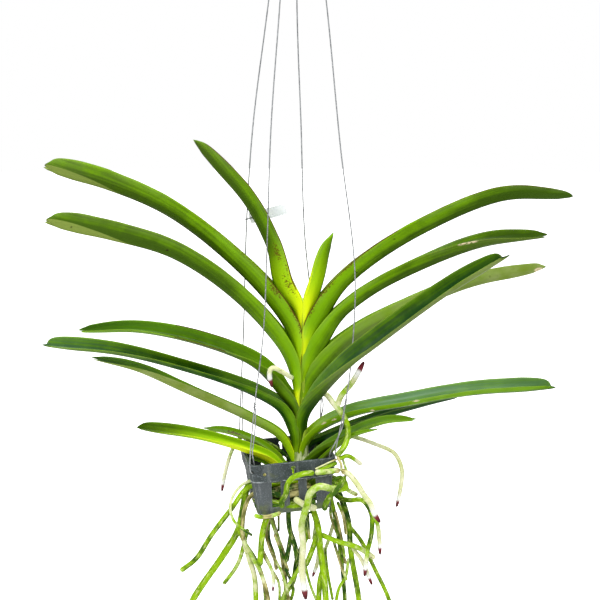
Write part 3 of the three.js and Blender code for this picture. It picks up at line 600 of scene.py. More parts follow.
def grow_leaf(name, leaf):
    side = -1 if name.startswith("left") else 1
    path = leaf["path"]
    first = Vector(path[0])
    foot = (STEM_X, first.y * 0.8, first.z - SHEATH)
    full, at = smooth_way([foot, *path])
    sheath, _ = smooth_way([foot, path[0]])
    length = full - sheath
    steps = round(full / LEAF_STEP)
    scars = [(*spot, 1) for spot in leaf["scars"]]
    specks = [(*spot, 0.9, 0.06, 1) for spot in leaf["specks"]]
    strip_start, strip_wide = leaf["strip"]
    rings = []
    for j in range(steps + 1):
        run = full * j / steps
        s = max(0, (run - sheath) / length)
        here = at(run)
        ahead = (at(min(full, run + 2)) - at(max(0, run - 2))).normalized()
        inward = (ahead.cross(Vector((0, 1, 0))) * side).normalized()
        sideways = (inward.cross(ahead) * side).normalized()
        turn = Matrix.Rotation(side * radians(along_leaf(leaf["roll"], s)), 3, ahead)
        inward, sideways = turn @ inward, turn @ sideways
        body = ease(-3, 4, run) * ease(0, 3, full - run) if 0 < j < steps else 0
        body *= lerp(0.6, 1, ease(0, sheath, run)) * lerp(1, 0.55, ease(full - 40, full, run))
        # the arms reach round the stem as far as its middle, less and less down the sheath
        reach = lerp(0.45, 1, ease(sheath - 18, sheath + 24, run))
        clasp = lerp(0.66, 1.12, min(1, run / sheath))
        clasp = lerp(clasp, 1, ease(sheath, sheath + 30, run))
        here = here + Vector((stem_lean(here.z) * ease(-45, -8, sheath - run), 0, 0))
        lead = ease(full - TIP_REACH, full, run)
        width = leaf_width(leaf, s, length)
        wave = 0.35 * noise.noise(Vector((run / 22, side * 9, first.z)))
        ring = folded_ring(width, along_leaf(leaf["open"], s), s, body)
        keel = min(up for _, up, _, _ in ring)
        heel = leaf["heel"] * ease(sheath - 20, sheath + 12, run)
        heel *= ease(-sheath - 75, -sheath - 25, -run)
        ring = [
            (across * clasp, keel + (up - keel) * reach - heel * (1 - abs(share)), share, face)
            for across, up, share, face in ring
        ]
        rings.append((run - sheath, s, here, ahead, inward, sideways, lead, width, wave, ring))

    def place(i, j):
        run, s, here, ahead, inward, sideways, lead, width, wave, ring = rings[j]
        across, up, share, face = ring[i]
        point = here + sideways * across + inward * (up + wave * share * share)
        point += ahead * lead * tip_lead(share, leaf["tongue"])
        edge = max([0] + [
            strong * ease(start - 0.03, start + 0.03, s) * ease(-end - 0.03, -end + 0.03, -s)
            for start, end, strong in leaf["edge"]
        ])
        back = leaf["back"] * ease(-0.2, 0.2, share) * ease(0.1, 0.5, s)
        far_lime = lerp(1, leaf["far_lime"], ease(0.25, 0.65, share))
        return point, {
            "grain": (run * MM, share * width * MM, first.z * 0.01 + side),
            "across": share,
            "inside": face,
            "lime": glow_at(leaf, run) * lerp(0.7, 1, abs(share)) * far_lime,
            # the outer faces take their painted shade here
            "deep": along_leaf(leaf["deep"], s) + leaf["outer_painted_shade"] * (1 - face),
            "pale": max(back, along_leaf(leaf["pale"], s)),
            "frost": along_leaf(leaf["frost"], s),
            "shade": leaf["shade"],
            "strip": -strip_wide * ease(strip_start, 1, s) if s > strip_start else 2,
            "blush": near(leaf["freckles"], s, share, length),
            "edge": edge,
            "scar": near(scars, s, share, length) - near(specks, s, share, length),
        }

    bm = bmesh.new()
    loft(bm, 4 * ARM_STEPS + 4, steps, place, LEAF_MARKS)
    set_piece("blade_" + name, bm, leaf_skin, "leaf", "leaf_" + name)


for name, leaf in LEAVES.items():
    grow_leaf(name, USUAL_LEAF | leaf)


# ---- Roots
# Thick aerial roots in a spongy coat of velamen: silvery cream when dry, green when wet, tan where
# it is old and scuffed. The growing ones end in a maroon point. They knot at the foot of the stem,
# grow out through the basket's slots and over its rim, and hang down below it.
ROOT_STEP = 2.4
TIP_LENGTH = 4.3  # of a growing point and the white behind it, to the thickness
TONES = {  # how wet, how old, how dark, partly as painted shade
    "white": (0.0, 0.0, 0.0),
    "cream": (0.16, 0.0, 0.0),
    "pale": (0.52, 0.0, 0.05),
    "lime": (0.88, 0.0, 0.2),
    "green": (0.95, 0.0, 0.45),
    "dark": (0.9, 0.1, 0.95),
    "tan": (0.3, 1.0, 0.2),
}
# thickness, tones from the stem on (a growing root ends in its tip), the way it runs
HANGING_ROOTS = [
    (6.6, "green lime lime green lime",
     [(20, -4, -34), (25, -16, -52), (32, -24, -73), (35, -28, -98), (41, -32, -164), (36, -34, -250),
      (44, -30, -330)]),
    (5.6, "lime lime lime pale",
     [(37, -29, -120), (34, -26, -136), (33, -24, -166), (28, -20, -220), (30, -18, -270)]),
    (5.6, "lime lime lime", [(32, -25, -81), (27, -22, -99), (20, -20, -119)]),
    (4.5, "dark green dark dark green",
     [(22, -3, -34), (44, -11, -38), (46, -12, -50), (49, -11, -64), (55, -8, -102), (61, -10, -174),
      (56, -8, -240), (62, -4, -296)]),
    (5.8, "green dark green green lime green tip",
     [(24, 4, -34), (42, 8, -36), (52, 8, -46), (58, 4, -58), (64, -10, -76), (66, -16, -103),
      (76, -20, -170), (72, -26, -230), (80, -24, -284)]),
    (5.4, "lime lime pale cream", [(35, -24, -83), (53, -26, -90), (72, -23, -97), (91, -19, -111)]),
    (4.4, "green green lime green",
     [(64, -12, -78), (77, -6, -97), (91, -2, -128), (108, 2, -168), (116, 4, -214), (112, 6, -246)]),
    (4.2, "cream white white tip", [(66, -16, -99), (77, -20, -112), (88, -24, -138)]),
    (3.2, "dark tan tan", [(46, -12, -54), (46, 4, -74), (56, 10, -105), (62, 12, -130)]),
    (3.4, "pale tan pale", [(24, 5, -40), (24, 7, -55), (30, 14, -84), (28, 16, -105)]),
    (3, "dark dark green", [(20, 3, -42), (19, 1, -57), (22, 4, -80), (24, 2, -99)]),
    (5.5, "green dark dark dark",
     [(15, -4, -36), (4, -18, -49), (3, -20, -76), (9, -22, -97), (11, -22, -112)]),
    (5, "dark dark dark", [(5, -20, -84), (2, -18, -103), (0, -16, -116)]),
    (4.6, "green tan tan tan pale green",
     [(14, 0, -38), (-8, -2, -41), (-18, -3, -53), (-14, 2, -80), (-6, 7, -112), (0, 10, -183),
      (-8, 14, -270), (0, 12, -360)]),
    (4, "tan dark tan", [(-17, -1, -66), (-19, 14, -101), (-13, 20, -126), (-11, 22, -141)]),
    (6.2, "green pale lime lime green",
     [(14, -3, -34), (-7, -18, -40), (-14, -23, -52), (-23, -30, -74), (-27, -32, -114)]),
    (5.8, "green dark lime lime lime pale",
     [(22, 2, -92), (11, 10, -125), (7, 6, -146), (-1, 2, -159), (-9, 0, -190), (-4, -4, -250)]),
    (5.8, "green dark green", [(18, 3, -40), (19, 4, -54), (21, 3, -76), (22, 2, -96)]),
    (4, "pale white white tip", [(33, -24, -88), (32, -12, -118), (27, -8, -136)]),
    (4.6, "green tan tan pale tan green green green lime",
     [(12, -2, -36), (-14, -16, -40), (-34, -24, -40), (-41, -25, -52), (-44, -28, -84),
      (-35, -26, -106), (-26, -24, -125), (-18, -22, -164), (-24, -18, -240), (-18, -14, -310)]),
    (5.4, "cream cream lime lime lime pale tip",
     [(-44, -27, -84), (-38, -20, -112), (-33, -18, -131), (-32, -16, -172), (-38, -12, -230),
      (-34, -8, -290)]),
    (3.6, "tan pale cream tip",
     [(-26, -31, -94), (-18, -26, -113), (-13, -24, -130), (-14, -22, -146)]),
    # the thin ones between them
    (2.4, "dark dark tan", [(26, -30, -57), (20, -34, -57), (21, -33, -66), (24, -32, -85)]),
    (4.4, "green pale green", [(-40, -6, -84), (-50, -4, -122), (-66, 6, -150)]),
    (3, "tan tan green", [(50, -14, -62), (56, -16, -87), (60, -14, -112)]),
    (3.2, "dark tan tan", [(52, -18, -50), (58, -22, -64), (61, -22, -84)]),
    (3.2, "dark tan pale", [(48, -16, -92), (56, -22, -117), (62, -22, -134)]),
    (3, "green pale tan green", [(18, -18, -112), (24, -24, -136), (36, -22, -172), (38, -20, -206)]),
    (3.2, "tan dark tan", [(-12, -20, -84), (-5, -18, -105), (2, -12, -128)]),
    (4, "cream pale cream", [(50, 10, -80), (44, 12, -103), (38, 14, -122)]),
    (3.2, "green tan tan pale tan green",
     [(-17, -16, -44), (-18, -18, -67), (-21, -18, -83), (-15, -17, -106), (-5, -16, -127),
      (1, -15, -150), (6, -14, -186)]),
    (3.4, "tan pale tan tan",
     [(-17, -6, -56), (-15, -10, -74), (-12, -11, -83), (-7, -12, -95), (-1, -12, -117),
      (-3, -12, -140)]),
    (2.4, "tan tan dark", [(-8, -4, -52), (-8, -6, -66), (-8, -7, -76), (-8, -8, -86)]),
    (3, "green tan pale dark",
     [(-24, -27, -96), (-23, -19, -108), (-15, -14, -126), (-8, -12, -141), (-8, -10, -176)]),
    (4, "lime green dark green lime",
     [(-50, -18, -76), (-44, -24, -89), (-33, -20, -109), (-25, -16, -131), (-22, -14, -155),
      (-26, -12, -206)]),
    (3.6, "dark lime lime",
     [(-1, -15, -124), (2, -12, -132), (7, -10, -149), (2, -8, -172), (4, -8, -206)]),
    (4.2, "lime pale lime lime",
     [(17, -18, -112), (13, -16, -123), (0, -14, -147), (-5, -12, -164), (-4, -10, -214)]),
    (3, "green lime green", [(40, -20, -100), (41, -14, -115), (43, -14, -131), (48, -12, -160)]),
    (3.4, "pale lime green",
     [(64, -16, -112), (61, -20, -130), (54, -20, -144), (51, -20, -166), (54, -18, -198)]),
]
# roots that stand or hang free, each with what branches off it
FREE_ROOTS = {
    "root_aerial_left": [
        (4.9, "cream white cream white tip",
         [(7, -5.5, 76.3), (2.5, -9, 80), (-2, -12, 84), (-7, -14.5, 87.5), (-11, -16, 90),
          (-15, -17, 89.5), (-16.5, -17, 83), (-14, -16, 70)]),
    ],
    "root_aerial_right": [
        (5.8, "pale tan cream cream pale lime lime lime",
         [(22, 5, 41), (31, 12, 54), (40, -6, 60), (48, -21, 54), (55, -24, 46), (61.5, -27, 33),
          (60.5, -33, 19), (56, -38, 12), (50, -41.5, 6)]),
        (5.7, "cream pale cream white tip",
         [(51, -22, 51), (55, -20, 62), (66, -17, 75), (78, -14, 96)]),
        (2.6, "tan tan tan pale", [(51, -41.5, 6.5), (52.5, -43, 3), (55, -43, -2), (55, -43, -9)]),
        (4.4, "lime lime lime cream cream",
         [(52, -42, 4), (55.5, -38.5, 3.5), (60.5, -35, 4.5), (68, -28, -1), (76, -22, -9)]),
    ],
    "root_front_thick": [
        (6.8, "green green green lime pale pale pale cream white white white tip",
         [(20, -4, -40), (34, -12.5, -28), (46, -12, -27), (58, -24, -30), (58, -42, -27),
          (46, -52, -24), (33, -57, -20), (24.5, -56, -26.5), (21, -55, -40), (15.5, -50, -62),
          (17, -46, -86), (16, -42, -114), (20, -40, -147)]),
        (5.6, "lime green green green",
         [(58, -46, -14), (54, -57, -18), (48, -60, -24.5), (41.5, -57, -33), (38, -50, -47)]),
        (4.6, "green pale cream tan", [(58, -30, -29), (62, -33, -32), (72, -35, -37)]),
        (7.4, "lime green lime", [(55.5, -42, -18), (58.5, -42.5, -23), (58, -43, -29)]),
        (3.6, "dark green dark",
         [(56, -42, -15), (51, -44, -15.5), (48.5, -44, -18.5), (51, -44, -21.5), (57, -42, -22)]),
        (2.6, "tan pale tan green",
         [(56, -31, 2), (58, -36, -3), (60, -39, -10), (59, -37, -18), (58, -35, -27)]),
    ],
    "root_band_left": [
        (5.6, "tan pale pale cream",
         [(54, -43, -8), (46, -43.5, -8.5), (36, -44.6, -9.2), (28.7, -45.3, -9.6)]),
        (5.6, "lime lime green lime green green",
         [(28.2, -45.4, -9.7), (18, -47, -10), (7, -49, -13.5), (1.5, -51, -20), (0, -51, -30),
          (-4, -50, -38), (-4, -49, -45)]),
        (4.4, "pale lime lime green", [(30, -42, -9.5), (41, -40.5, -5), (51, -40, -1)]),
        (1.6, "cream cream tan", [(29, -43.5, -6.5), (40, -42, -1.5), (51, -40.5, 3)]),
    ],
    "root_band_right": [
        (5.6, "tan cream cream cream cream white white tip",
         [(55, -43.5, -8), (62, -46, -10.5), (71, -48, -21), (77, -48, -31), (84, -48, -41),
          (88, -48, -51), (94, -48, -61)]),
    ],
    "root_far_right": [
        (4.3, "green dark dark dark pale cream cream cream white white tip",
         [(18, 10, -36), (26, 22, -22), (33, 26, -2), (39, 26, 7), (54, 22, 10), (69, 14, 9),
          (92, 10, 2), (111, 8, -7), (119, 6, -24), (118, 5, -43), (114, 4, -64)]),
    ],
    "root_right_arch": [
        (5, "green dark green green green green green green cream white tip",
         [(22, 3, -42), (36, 5.5, -42.3), (44, 6, -42.8), (54, -3, -51), (65, -14, -50),
          (77, -19, -48), (86, -20, -60), (87, -22, -82), (82.5, -28, -101), (80, -28, -127)]),
        (4.4, "green pale white white tip",
         [(84, -20, -58), (92, -22, -70), (95, -22, -89), (96, -22, -106)]),
    ],
    "root_far_left": [
        (5.3, "green lime lime green green green",
         [(14, -4, -34), (-16, -20, -31), (-38, -25, -32), (-55, -33, -52), (-75, -34, -79),
          (-92, -30, -107), (-108, -28, -121)]),
    ],
    "root_left_thick": [
        (7, "green dark green lime lime lime lime pale tan",
         [(14, 1, -38), (-20, -2, -34), (-38, -6, -36), (-44, -8, -58), (-50, -4, -86),
          (-66, 2, -116), (-99, 8, -169), (-116, 14, -214), (-112, 18, -262)]),
    ],
    "root_left_drop": [
        (4, "green dark dark dark dark dark cream cream white tip",
         [(16, 9, -34), (4, 20, -18), (-22, 25, 0), (-46, 23, 6), (-56, 16, -6), (-64, 12, -32),
          (-67, 10, -49)]),
    ],
    "root_left_thin": [
        (3, "green pale pale cream pale dark",
         [(14, -8, -32), (0, -20, -29), (-16, -27, -25), (-38, -26, -25.5), (-50, -30, -34),
          (-56, -38, -47), (-52, -42, -62), (-34, -40, -78)]),
    ],
}
# roots that lie in the basket and against it
INNER_ROOTS = [
    (5.6, "dark green dark",
     [(8, 6, -44), (-12, 14, -45), (-24, 4, -44), (-22, -12, -43), (-8, -22, -42)]),
    (5, "green dark green",
     [(22, 8, -40), (34, 18, -44), (40, 6, -45), (36, -8, -44), (24, -20, -44)]),
    (6, "dark dark green dark", [(-32, -34, -48), (-10, -36, -48), (12, -36, -47), (30, -35, -45)]),
    (6, "green dark tan dark", [(-30, -28, -30), (-5, -33, -38), (15, -34, -35), (32, -31, -38)]),
    (5, "dark green dark", [(-34, -30, -44), (-12, -35, -44), (8, -36, -46), (30, -34, -44)]),
    (4.8, "tan green dark",
     [(12, 8, -36), (-6, 22, -34), (-24, 20, -30), (-27, 4, -28), (-24, -10, -34)]),
    (6.4, "cream white cream", [(8, -42, -37), (14, -44, -41), (22, -45, -45), (31, -46, -47)]),
    (4.4, "pale lime tan pale tan",
     [(-32, -46.5, -54), (-24, -46.5, -56), (-15, -45.5, -55), (-5, -43.5, -52.5)]),
]

ROOT_MARKS = "wet aged dark to_tip".split()
root_coat, tree, shader = new_material("root_coat")
grain = mark("grain", "Vector")
wet, aged, dark, to_tip = (mark(name) for name in ROOT_MARKS)
along_root = stretched(grain, 150, 560, 560)
cloudy = patchy(grain, 75, 0.3, 0.7)
dashes = patchy(along_root, 1, 0.56, 0.64)
dry = mixed(cloudy, tint(232, 231, 196), tint(208, 212, 150))
# a deeper green, partly the root's own and partly painted shade where roots lie in the basket and
# under the leaves
dark_and_shade_depth = plus(dark, swayed(0.75, cloudy))
damp = mixed(between(dark_and_shade_depth, 0.0, 1.0), tint(146, 188, 2), tint(36, 76, 6))
soaked = plus(wet, swayed(0.45, patchy(grain, 190, 0.25, 0.75, 4.0)))
coat = mixed(between(soaked, 0.1, 0.75), dry, damp)
flecks = times(dashes, between(wet, 0.2, 0.8, 0.2, 0.45))
coat = mixed(flecks, coat, tint(226, 234, 150))
scuffs = patchy(along_root, 0.6, 0.35, 0.6)
old = mixed(scuffs, tint(206, 196, 132), tint(104, 104, 46))
worn_away = plus(aged, swayed(0.6, cloudy))
coat = mixed(between(worn_away, 0.35, 0.8), coat, old)
pits = patchy(grain, 330, 0.64, 0.7)
coat = mixed(times(pits, 0.65), coat, tint(84, 78, 26))
growing = plus(to_tip, times(cloudy, 0.06))
coat = mixed(between(growing, 0.55, 0.95, 1.0, 0.0), coat, tint(240, 241, 236))
point = mixed(between(growing, 0.0, 0.42), tint(58, 6, 14), tint(122, 40, 48))
coat = mixed(between(growing, 0.36, 0.5, 1.0, 0.0), coat, point)
connect(shader.inputs["Base Color"], coat)
connect(shader.inputs["Roughness"], between(growing, 0.3, 0.7, 0.35, 0.68))
shader.inputs["Specular IOR Level"].default_value = 0.18
connect(shader.inputs["Normal"], relief(noisy(along_root, 1, 4), 0.8, 0.001))


def grow_tube(bm, points, around, step, radius_at, say=None, marks=()):
    """A tube along a smooth way, rounded at both ends. radius_at and say are given the distances
    from its start and from its end, and the turn round it."""
    total, at = smooth_way(points)
    nose = min(radius_at(0, total, 0), total / 4)
    rounds = [nose * part for part in (0, 0.04, 0.15, 0.35, 0.65)]
    count = max(3, round((total - 2 * nose) / step))
    stops = rounds + [nose + (total - 2 * nose) * k / count for k in range(count + 1)]
    stops += [total - stop for stop in reversed(rounds)]
    frames = []
    side = Vector((0, 1, 0))
    for run in stops:
        ahead = (at(min(total, run + 0.8)) - at(max(0, run - 0.8))).normalized()
        if abs(side.dot(ahead)) > 0.9:
            side = Vector((1, 0, 0))
        side = (side - ahead * side.dot(ahead)).normalized()
        end = min(run, total - run, nose) / nose
        frames.append((run, at(run), side, ahead.cross(side), sqrt(1 - (1 - end) ** 2)))

    def place(i, j):
        run, here, side, up, full = frames[j]
        angle = tau * i / around
        radius = radius_at(run, total - run, angle) * full
        point = here + (side * cos(angle) + up * sin(angle)) * radius
        return point, say(run, total - run, angle) if say else {}

    loft(bm, around, len(stops) - 1, place, marks)


def grow_root(bm, thick, tones, way):
    """A slightly uneven tube, marked with its tones along the way and with how near its tip is."""
    seed = way[0][0] * 3.7 + way[-1][2] * 1.3 + thick
    has_tip = tones.endswith("tip")
    stages = [TONES[tone] for tone in tones.removesuffix(" tip").split()]
    total, _ = smooth_way(way)

    def radius_at(run, rest, angle):
        swell = 1 + 0.07 * noise.noise(Vector((run / 16, seed, 0)))
        swell += 0.05 * noise.noise(Vector((run / 5, seed, cos(angle)))) * (1 + sin(angle)) / 2
        if has_tip:
            swell *= lerp(0.6, 1.03, ease(0, 11, rest))
        return thick / 2 * swell

    def say(run, rest, angle):
        part = (len(stages) - 1) * run / total
        k = min(int(part), len(stages) - 2)
        wet, aged, dark = (lerp(a, b, part - k) for a, b in zip(stages[k], stages[k + 1]))
        local = (run * MM, thick / 2 * cos(angle) * MM, thick / 2 * sin(angle) * MM + seed)
        to_tip = min(1, rest / (TIP_LENGTH * thick)) if has_tip else 1
        return {"grain": local, "wet": wet, "aged": aged, "dark": dark, "to_tip": to_tip}

    grow_tube(bm, way, 12, ROOT_STEP, radius_at, say, ROOT_MARKS)


for name, tubes in FREE_ROOTS.items():
    bm = bmesh.new()
    for tube in tubes:
        grow_root(bm, *tube)
    set_piece(name.replace("root_", "live_root_"), bm, root_coat, "root", name)

BASKET_TURN = Matrix.Rotation(radians(-3.2), 3, "Y") @ Matrix.Rotation(radians(9.3), 3, "Z")


def knot_shape(ball):
    bulge = 1 + 0.16 * noise.noise(ball * 2.6) + 0.07 * noise.noise(ball * 7)
    return Vector((ball.x * 11.5, ball.y * 10, ball.z * 11.5)) * min(1.02, bulge)


def mat_shape(ball):
    bulge = 1 + 0.12 * noise.noise(ball * 3) + 0.1 * noise.noise(ball * 9)
    square = 1 / max(0.75, abs(ball.x), abs(ball.y))
    return Vector((ball.x * 25 * square, ball.y * 24 * square, ball.z * 9)) * bulge


def grow_lump(bm, shape, turn, middle, *values):
    """A ball pressed into a shape: old roots that have grown into one another."""
    lump = bmesh.ops.create_icosphere(bm, subdivisions=5, radius=1)["verts"]
    for vert in lump:
        local = shape(vert.co)
        vert.co = RIM + turn @ (Vector(middle) + local) * MM
        vert[bm.verts.layers.float_vector["grain"]] = local * MM
        for name, value in zip(ROOT_MARKS, values):
            vert[bm.verts.layers.float[name]] = value
    for face in {face for vert in lump for face in vert.link_faces}:
        face.smooth = True


# The knot of root bases at the foot of the stem and the mat of old roots on the basket's floor,
# with the roots that hang from them.
bm = bmesh.new()
for tube in HANGING_ROOTS + INNER_ROOTS:
    grow_root(bm, *tube)
# the mat in the basket is painted darkest, partly as painted shade
grow_lump(bm, knot_shape, Matrix.Identity(3), (STEM_X, 0, -39), 0.5, 0.6, 0.6, 1)
grow_lump(bm, mat_shape, BASKET_TURN, (0, 0, -41), 0.8, 0.45, 1.1, 1)
set_piece("live_roots_hanging", bm, root_coat, "root", "roots_hanging")


# ---- Stem
# The upright stem inside the leaf bases. Only slivers show, and its foot is wrapped in the dry,
# papery rests of old leaf bases.
stem_bark, tree, shader = new_material("stem_bark")
spot = put("TexCoord", {}).outputs["Object"]
papery = patchy(stretched(spot, 900, 900, 60), 1, 0.35, 0.65)
height = put("SeparateXYZ", {"Vector": spot}).outputs["Z"]
dry = mixed(papery, tint(212, 222, 168), tint(124, 154, 52))
green = mixed(papery, tint(190, 214, 50), tint(140, 172, 40))
fresh_part = between(height, -0.71, -0.698)
connect(shader.inputs["Base Color"], mixed(fresh_part, dry, green))
connect(shader.inputs["Roughness"], between(papery, 0, 1, 0.55, 0.75))
connect(shader.inputs["Normal"], relief(papery, 0.5, 0.0005))


STEM_RADIUS = 6.2  # at the foot


def stem_radius(run, rest, angle):
    return STEM_RADIUS - 1.6 * ease(10, 80, run) + 0.4 * noise.noise(Vector((run / 9, angle, 0)))


SHEATH_AROUND, SHEATH_ALONG = 24, 10
SHELL = 0.25  # half their thickness
TORN_SHEATHS = [  # turn round the stem, foot, top, how far out
    (-116, -34, -1, 9.8), (-70, -32, -4, 10.2), (-92, -34, -10, 9), (160, -32, -8, 9.8),
    (40, -33, -8, 9.6),
]


def grow_torn_sheath(bm, turn, low, high, reach):
    """A thin shell that stands off the stem's foot, narrower and torn at the top."""
    half_way = SHEATH_AROUND // 2

    def place(i, j):
        part = min(i, SHEATH_AROUND - i) / half_way
        face = SHELL if i <= half_way else -SHELL
        rise = j / SHEATH_ALONG
        torn = 6 * noise.noise(Vector((i * 0.45, turn, 0))) * rise
        angle = radians(turn + (part - 0.5) * lerp(100, 46, rise))
        radius = reach + 1.5 * rise**2 + (face if 0 < j < SHEATH_ALONG and 0 < part < 1 else 0)
        z = lerp(low, high, rise) + torn
        return Vector((STEM_X + radius * cos(angle), radius * sin(angle), z)), {}

    loft(bm, SHEATH_AROUND, SHEATH_ALONG, place)


bm = bmesh.new()
stem_way = [(STEM_X, 0, -45), (STEM_X, 0, -10), (STEM_X, 0, 60), (STEM_X, 0, 158)]
grow_tube(bm, stem_way, 20, 3, stem_radius)
for torn_sheath in TORN_SHEATHS:
    grow_torn_sheath(bm, *torn_sheath)
set_piece("bare_stem", bm, stem_bark, "stem_sheath", "stem")


# ---- Slatted basket
# A small square tub of moulded charcoal plastic: a plain band round the rim, slats below it and a
# barred floor. It is scuffed pale along its edges, dusty, and green with algae at the foot.
basket_plastic, tree, shader = new_material("basket_plastic")
spot = mark("spot", "Vector")
worn = mark("worn")
inner_painted_shade = mark("inner_painted_shade")
height = put("SeparateXYZ", {"Vector": spot}).outputs["Z"]
cloudy = patchy(spot, 60, 0.3, 0.7)
specks = patchy(spot, 780, 0.55, 0.66, 2.0)
drips = patchy(stretched(spot, 260, 260, 34), 1, 0.5, 0.75)
plastic = mixed(cloudy, tint(38, 48, 49), tint(60, 70, 70))
slats = between(height, -0.0165, -0.0205)
plastic = mixed(times(slats, 0.32), plastic, tint(104, 108, 113))
plastic = mixed(times(specks, 0.26), plastic, tint(140, 150, 156))
plastic = mixed(times(drips, 0.3), plastic, tint(142, 148, 150))
low = between(height, -0.04, -0.053)
algae = times(low, patchy(spot, 110, 0.35, 0.6))
plastic = mixed(times(algae, 0.7), plastic, tint(96, 116, 44))
ragged = patchy(spot, 240, 0.38, 0.6)
plastic = mixed(times(worn, ragged), plastic, tint(176, 186, 190))
# a wavering scuffed line where the band meets the slats
line = plus(height, swayed(0.004, noisy(spot, 85, 3)))
line = maths("ABSOLUTE", plus(line, 0.0182))
scuffed = times(between(line, 0.0002, 0.0007, 1.0, 0.0), ragged)
plastic = mixed(times(scuffed, 0.8), plastic, tint(190, 198, 200))
stains = times(patchy(spot, 48, 0.6, 0.74), 0.4)
plastic = mixed(stains, plastic, tint(104, 112, 46))
# painted shade: the tub's inner faces are darkened almost to black
plastic = mixed(times(inner_painted_shade, 0.75), plastic, tint(10, 24, 25))
connect(shader.inputs["Base Color"], plastic)
connect(shader.inputs["Roughness"], between(cloudy, 0.0, 1.0, 0.5, 0.68))
connect(shader.inputs["Normal"], relief(noisy(spot, 900, 2), 0.2, 0.0003))

BAND_FOOT = -17.5, -14  # the corners between these heights move down with the foot of the band
BAND_DROP = 3.4
DRAWN_BELOW, DRAW_IN = -15.4, 0.984  # those under this height also move in, as the walls slope


def merged_copy(node):
    """A copy of a node's mesh with its triangles joined into whole faces."""
    bm = bmesh.new()
    bm.from_mesh(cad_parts[node].data)
    bmesh.ops.remove_doubles(bm, verts=bm.verts, dist=1e-5)
    bmesh.ops.dissolve_limit(bm, angle_limit=radians(2), verts=bm.verts, edges=bm.edges)
    return bm


def round_edges(bm, offset):
    """Rounds the sharp edges and gives back the faces that do so."""
    sharp = [edge for edge in bm.edges if edge.is_manifold and edge.calc_face_angle() > radians(35)]
    return bmesh.ops.bevel(
        bm, geom=sharp, offset=offset * MM, segments=2, profile=0.5, affect="EDGES", material=-1,
        clamp_overlap=True,
    )["faces"]


bm = merged_copy("basket")
for vert in bm.verts:
    local = BASKET_TURN.transposed() @ (vert.co - RIM) / MM
    if BAND_FOOT[0] < local.z < BAND_FOOT[1]:  # the band hangs a little lower over the slots
        draw_in = 1 if local.z > DRAWN_BELOW else DRAW_IN
        local = Vector((local.x * draw_in, local.y * draw_in, local.z - BAND_DROP))
        vert.co = RIM + BASKET_TURN @ local * MM
worn_layer = bm.faces.layers.float.new("worn")
spot_layer = bm.verts.layers.float_vector.new("spot")
inner_shade_layer = bm.verts.layers.float.new("inner_painted_shade")
for face in round_edges(bm, 0.35):
    face[worn_layer] = 1
bm.normal_update()
for vert in bm.verts:
    vert[spot_layer] = BASKET_TURN.transposed() @ (vert.co - RIM)
    # faces that look inward are marked for the painted shade
    outward = (vert.co - RIM) * Vector((1, 1, 0))
    vert[inner_shade_layer] = 1 if vert.normal.dot(outward) < -0.3 * outward.length else 0
set_piece("tub", bm, basket_plastic, "basket_plastic", "basket")
# dirt that plugs a small hole in the front
bm = bmesh.new()
grow_root(bm, 3.4, "tan tan", [BASKET_TURN @ Vector((-29, y, -10)) for y in (-41.5, -43.6)])
set_piece("plug_of_dirt", bm, root_coat, "root")


# ---- Hanging wires and hook
# Four galvanised wires, each threaded through a corner hole and wrapped round itself above it.
# At the top they are twisted into one rope and bent over into a hook.
WIRE = 0.62  # radius
RIM_HALF, CORNER, HOLE_DROP = 44, 7, 7.5
TWIST_X, TWIST_Z = 11, 656.6
WIRE_WAYS = {  # from the twist down to the wrapping
    "front_left": [(-5, -2, 449), (-14, -11, 329), (-18, -21, 220), (-22, -30, 130), (-31, -41, 56)],
    "back_left": [(-16, 2, 449), (-32, 9, 330), (-39, 17, 240), (-44, 27, 115), (-47, 33, 58)],
    "back_right": [(11, 3, 449), (15, 12, 330), (19, 24, 215), (31, 37, 106), (36, 43, 52)],
    "front_right": [(39, -2, 449), (53, -10, 312), (68, -20, 185), (64, -28, 94), (59, -31, 57)],
}
WRAP_STEPS, WRAP_TURNS, WRAP_RISE = 12, 3, 0.16  # steps a turn, turns, rise a step
WRAP_OUT, WRAP_WIRE = 1.05, 0.45
LOOP_WIDE = 7

zinc_wire, tree, shader = new_material("zinc_wire")
spot = put("TexCoord", {}).outputs["Object"]
dull = patchy(spot, 160, 0.35, 0.7)
flaked = patchy(spot, 1400, 0.5, 0.7)
zinc = mixed(dull, tint(160, 163, 166), tint(104, 107, 110))
connect(shader.inputs["Base Color"], mixed(flaked, zinc, tint(214, 216, 218)))
shader.inputs["Metallic"].default_value = 0.55
connect(shader.inputs["Roughness"], between(dull, 0.0, 1.0, 0.32, 0.5))
connect(shader.inputs["Normal"], relief(flaked, 0.2, 0.0002))


def at_corner(corner, reach, z):
    """A point of the basket on the line out through a corner, in millimetres from the rim."""
    leg = reach / sqrt(2)
    return BASKET_TURN @ Vector((corner[0] * leg, corner[1] * leg, z))


def even(radius):
    """The same radius all along a tube."""
    return lambda run, rest, angle: radius


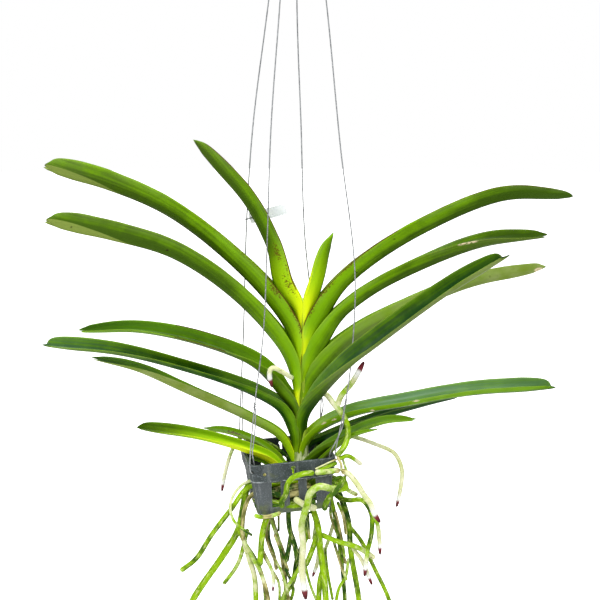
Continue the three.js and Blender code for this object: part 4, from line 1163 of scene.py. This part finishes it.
for name, way in WIRE_WAYS.items():
    corner = (1 if "right" in name else -1, 1 if "back" in name else -1)
    face = (RIM_HALF - CORNER) * sqrt(2) + CORNER
    outer = face + 1.25
    inner = outer - LOOP_WIDE
    top = (TWIST_X + corner[0] * 0.85, corner[1] * 0.85, TWIST_Z)
    meet = Vector(way[-1])
    points = [
        top, *way, at_corner(corner, outer, 3), at_corner(corner, outer - 0.3, 1.5 - HOLE_DROP),
        at_corner(corner, (outer + inner) / 2, -0.6 - HOLE_DROP),
        at_corner(corner, inner + 0.3, 1.5 - HOLE_DROP), at_corner(corner, inner + 1, 4),
        at_corner(corner, outer - 2.4, 13) + Vector((1.6, 0, 0)),
        at_corner(corner, outer, 13).lerp(meet, 0.5) + Vector((3, 0, 0)),
        meet - Vector((corner[0] * 1.2, corner[1] * 1.2, 1)),
    ]
    bm = bmesh.new()
    grow_tube(bm, points, 8, 2.5, even(WIRE))
    # the short end wraps three turns round the long one
    climb = (Vector(way[-2]) - meet).normalized()
    wrap = []
    for k in range(WRAP_TURNS * WRAP_STEPS + 1):
        angle = tau * k / WRAP_STEPS
        ring = Vector((cos(angle), sin(angle), 0)) * WRAP_OUT
        wrap.append(meet + climb * (k * WRAP_RISE - 0.6) + ring - climb * climb.dot(ring))
    grow_tube(bm, wrap, 6, 0.6, even(WRAP_WIRE))
    set_piece("strand_" + name, bm, zinc_wire, "wire_steel", "wire_" + name)

HOOK_Z, HOOK_RADIUS = 701, 15.75
LAY, STRAND, STRAND_OUT = 14, 0.72, 0.98  # length of a turn, a strand's radius, how far out it lies
bend = [
    (TWIST_X + HOOK_RADIUS * cos(radians(turn)), 0, HOOK_Z + HOOK_RADIUS * sin(radians(turn)))
    for turn in (212, 180, 145, 110, 75, 40, 5, -32)
]
total, at = smooth_way([(TWIST_X, 0, 657), (TWIST_X, 0, 669), (9.5, 0, 681), *bend])
bm = bmesh.new()
for strand in range(4):
    twisted = []
    for k in range(int(total) + 1):
        ahead = (at(min(total, k + 1)) - at(max(0, k - 1))).normalized()
        side = Vector((0, 1, 0))
        up = ahead.cross(side)
        angle = tau * (k / LAY + strand / 4)
        twisted.append(at(k) + (side * cos(angle) + up * sin(angle)) * STRAND_OUT)
    grow_tube(bm, twisted, 8, 1.2, even(STRAND))
set_piece("twisted_hook", bm, zinc_wire, "wire_steel", "hanger_hook")


# ---- Name tag
# A blank strip of stiff white plastic that bows a little, with worn edges. A thin wire ties it to
# the back left strand.
tag_plastic, tree, shader = new_material("tag_plastic")
spot = put("TexCoord", {}).outputs["Object"]
smudge = patchy(spot, 90, 0.35, 0.7)
grime = patchy(spot, 700, 0.62, 0.75)
white = mixed(smudge, tint(246, 249, 250), tint(232, 238, 240))
white = mixed(times(grime, 0.4), white, tint(206, 208, 200))
connect(shader.inputs["Base Color"], white)
connect(shader.inputs["Roughness"], between(smudge, 0.0, 1.0, 0.32, 0.48))
connect(shader.inputs["Normal"], relief(grime, 0.1, 0.0002))

bm = merged_copy("name_tag")
round_edges(bm, 0.2)
set_piece("blank_tag", bm, tag_plastic, "tag_plastic", "name_tag")
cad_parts["tag_tie"].data.materials.clear()
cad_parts["tag_tie"].data.materials.append(zinc_wire)
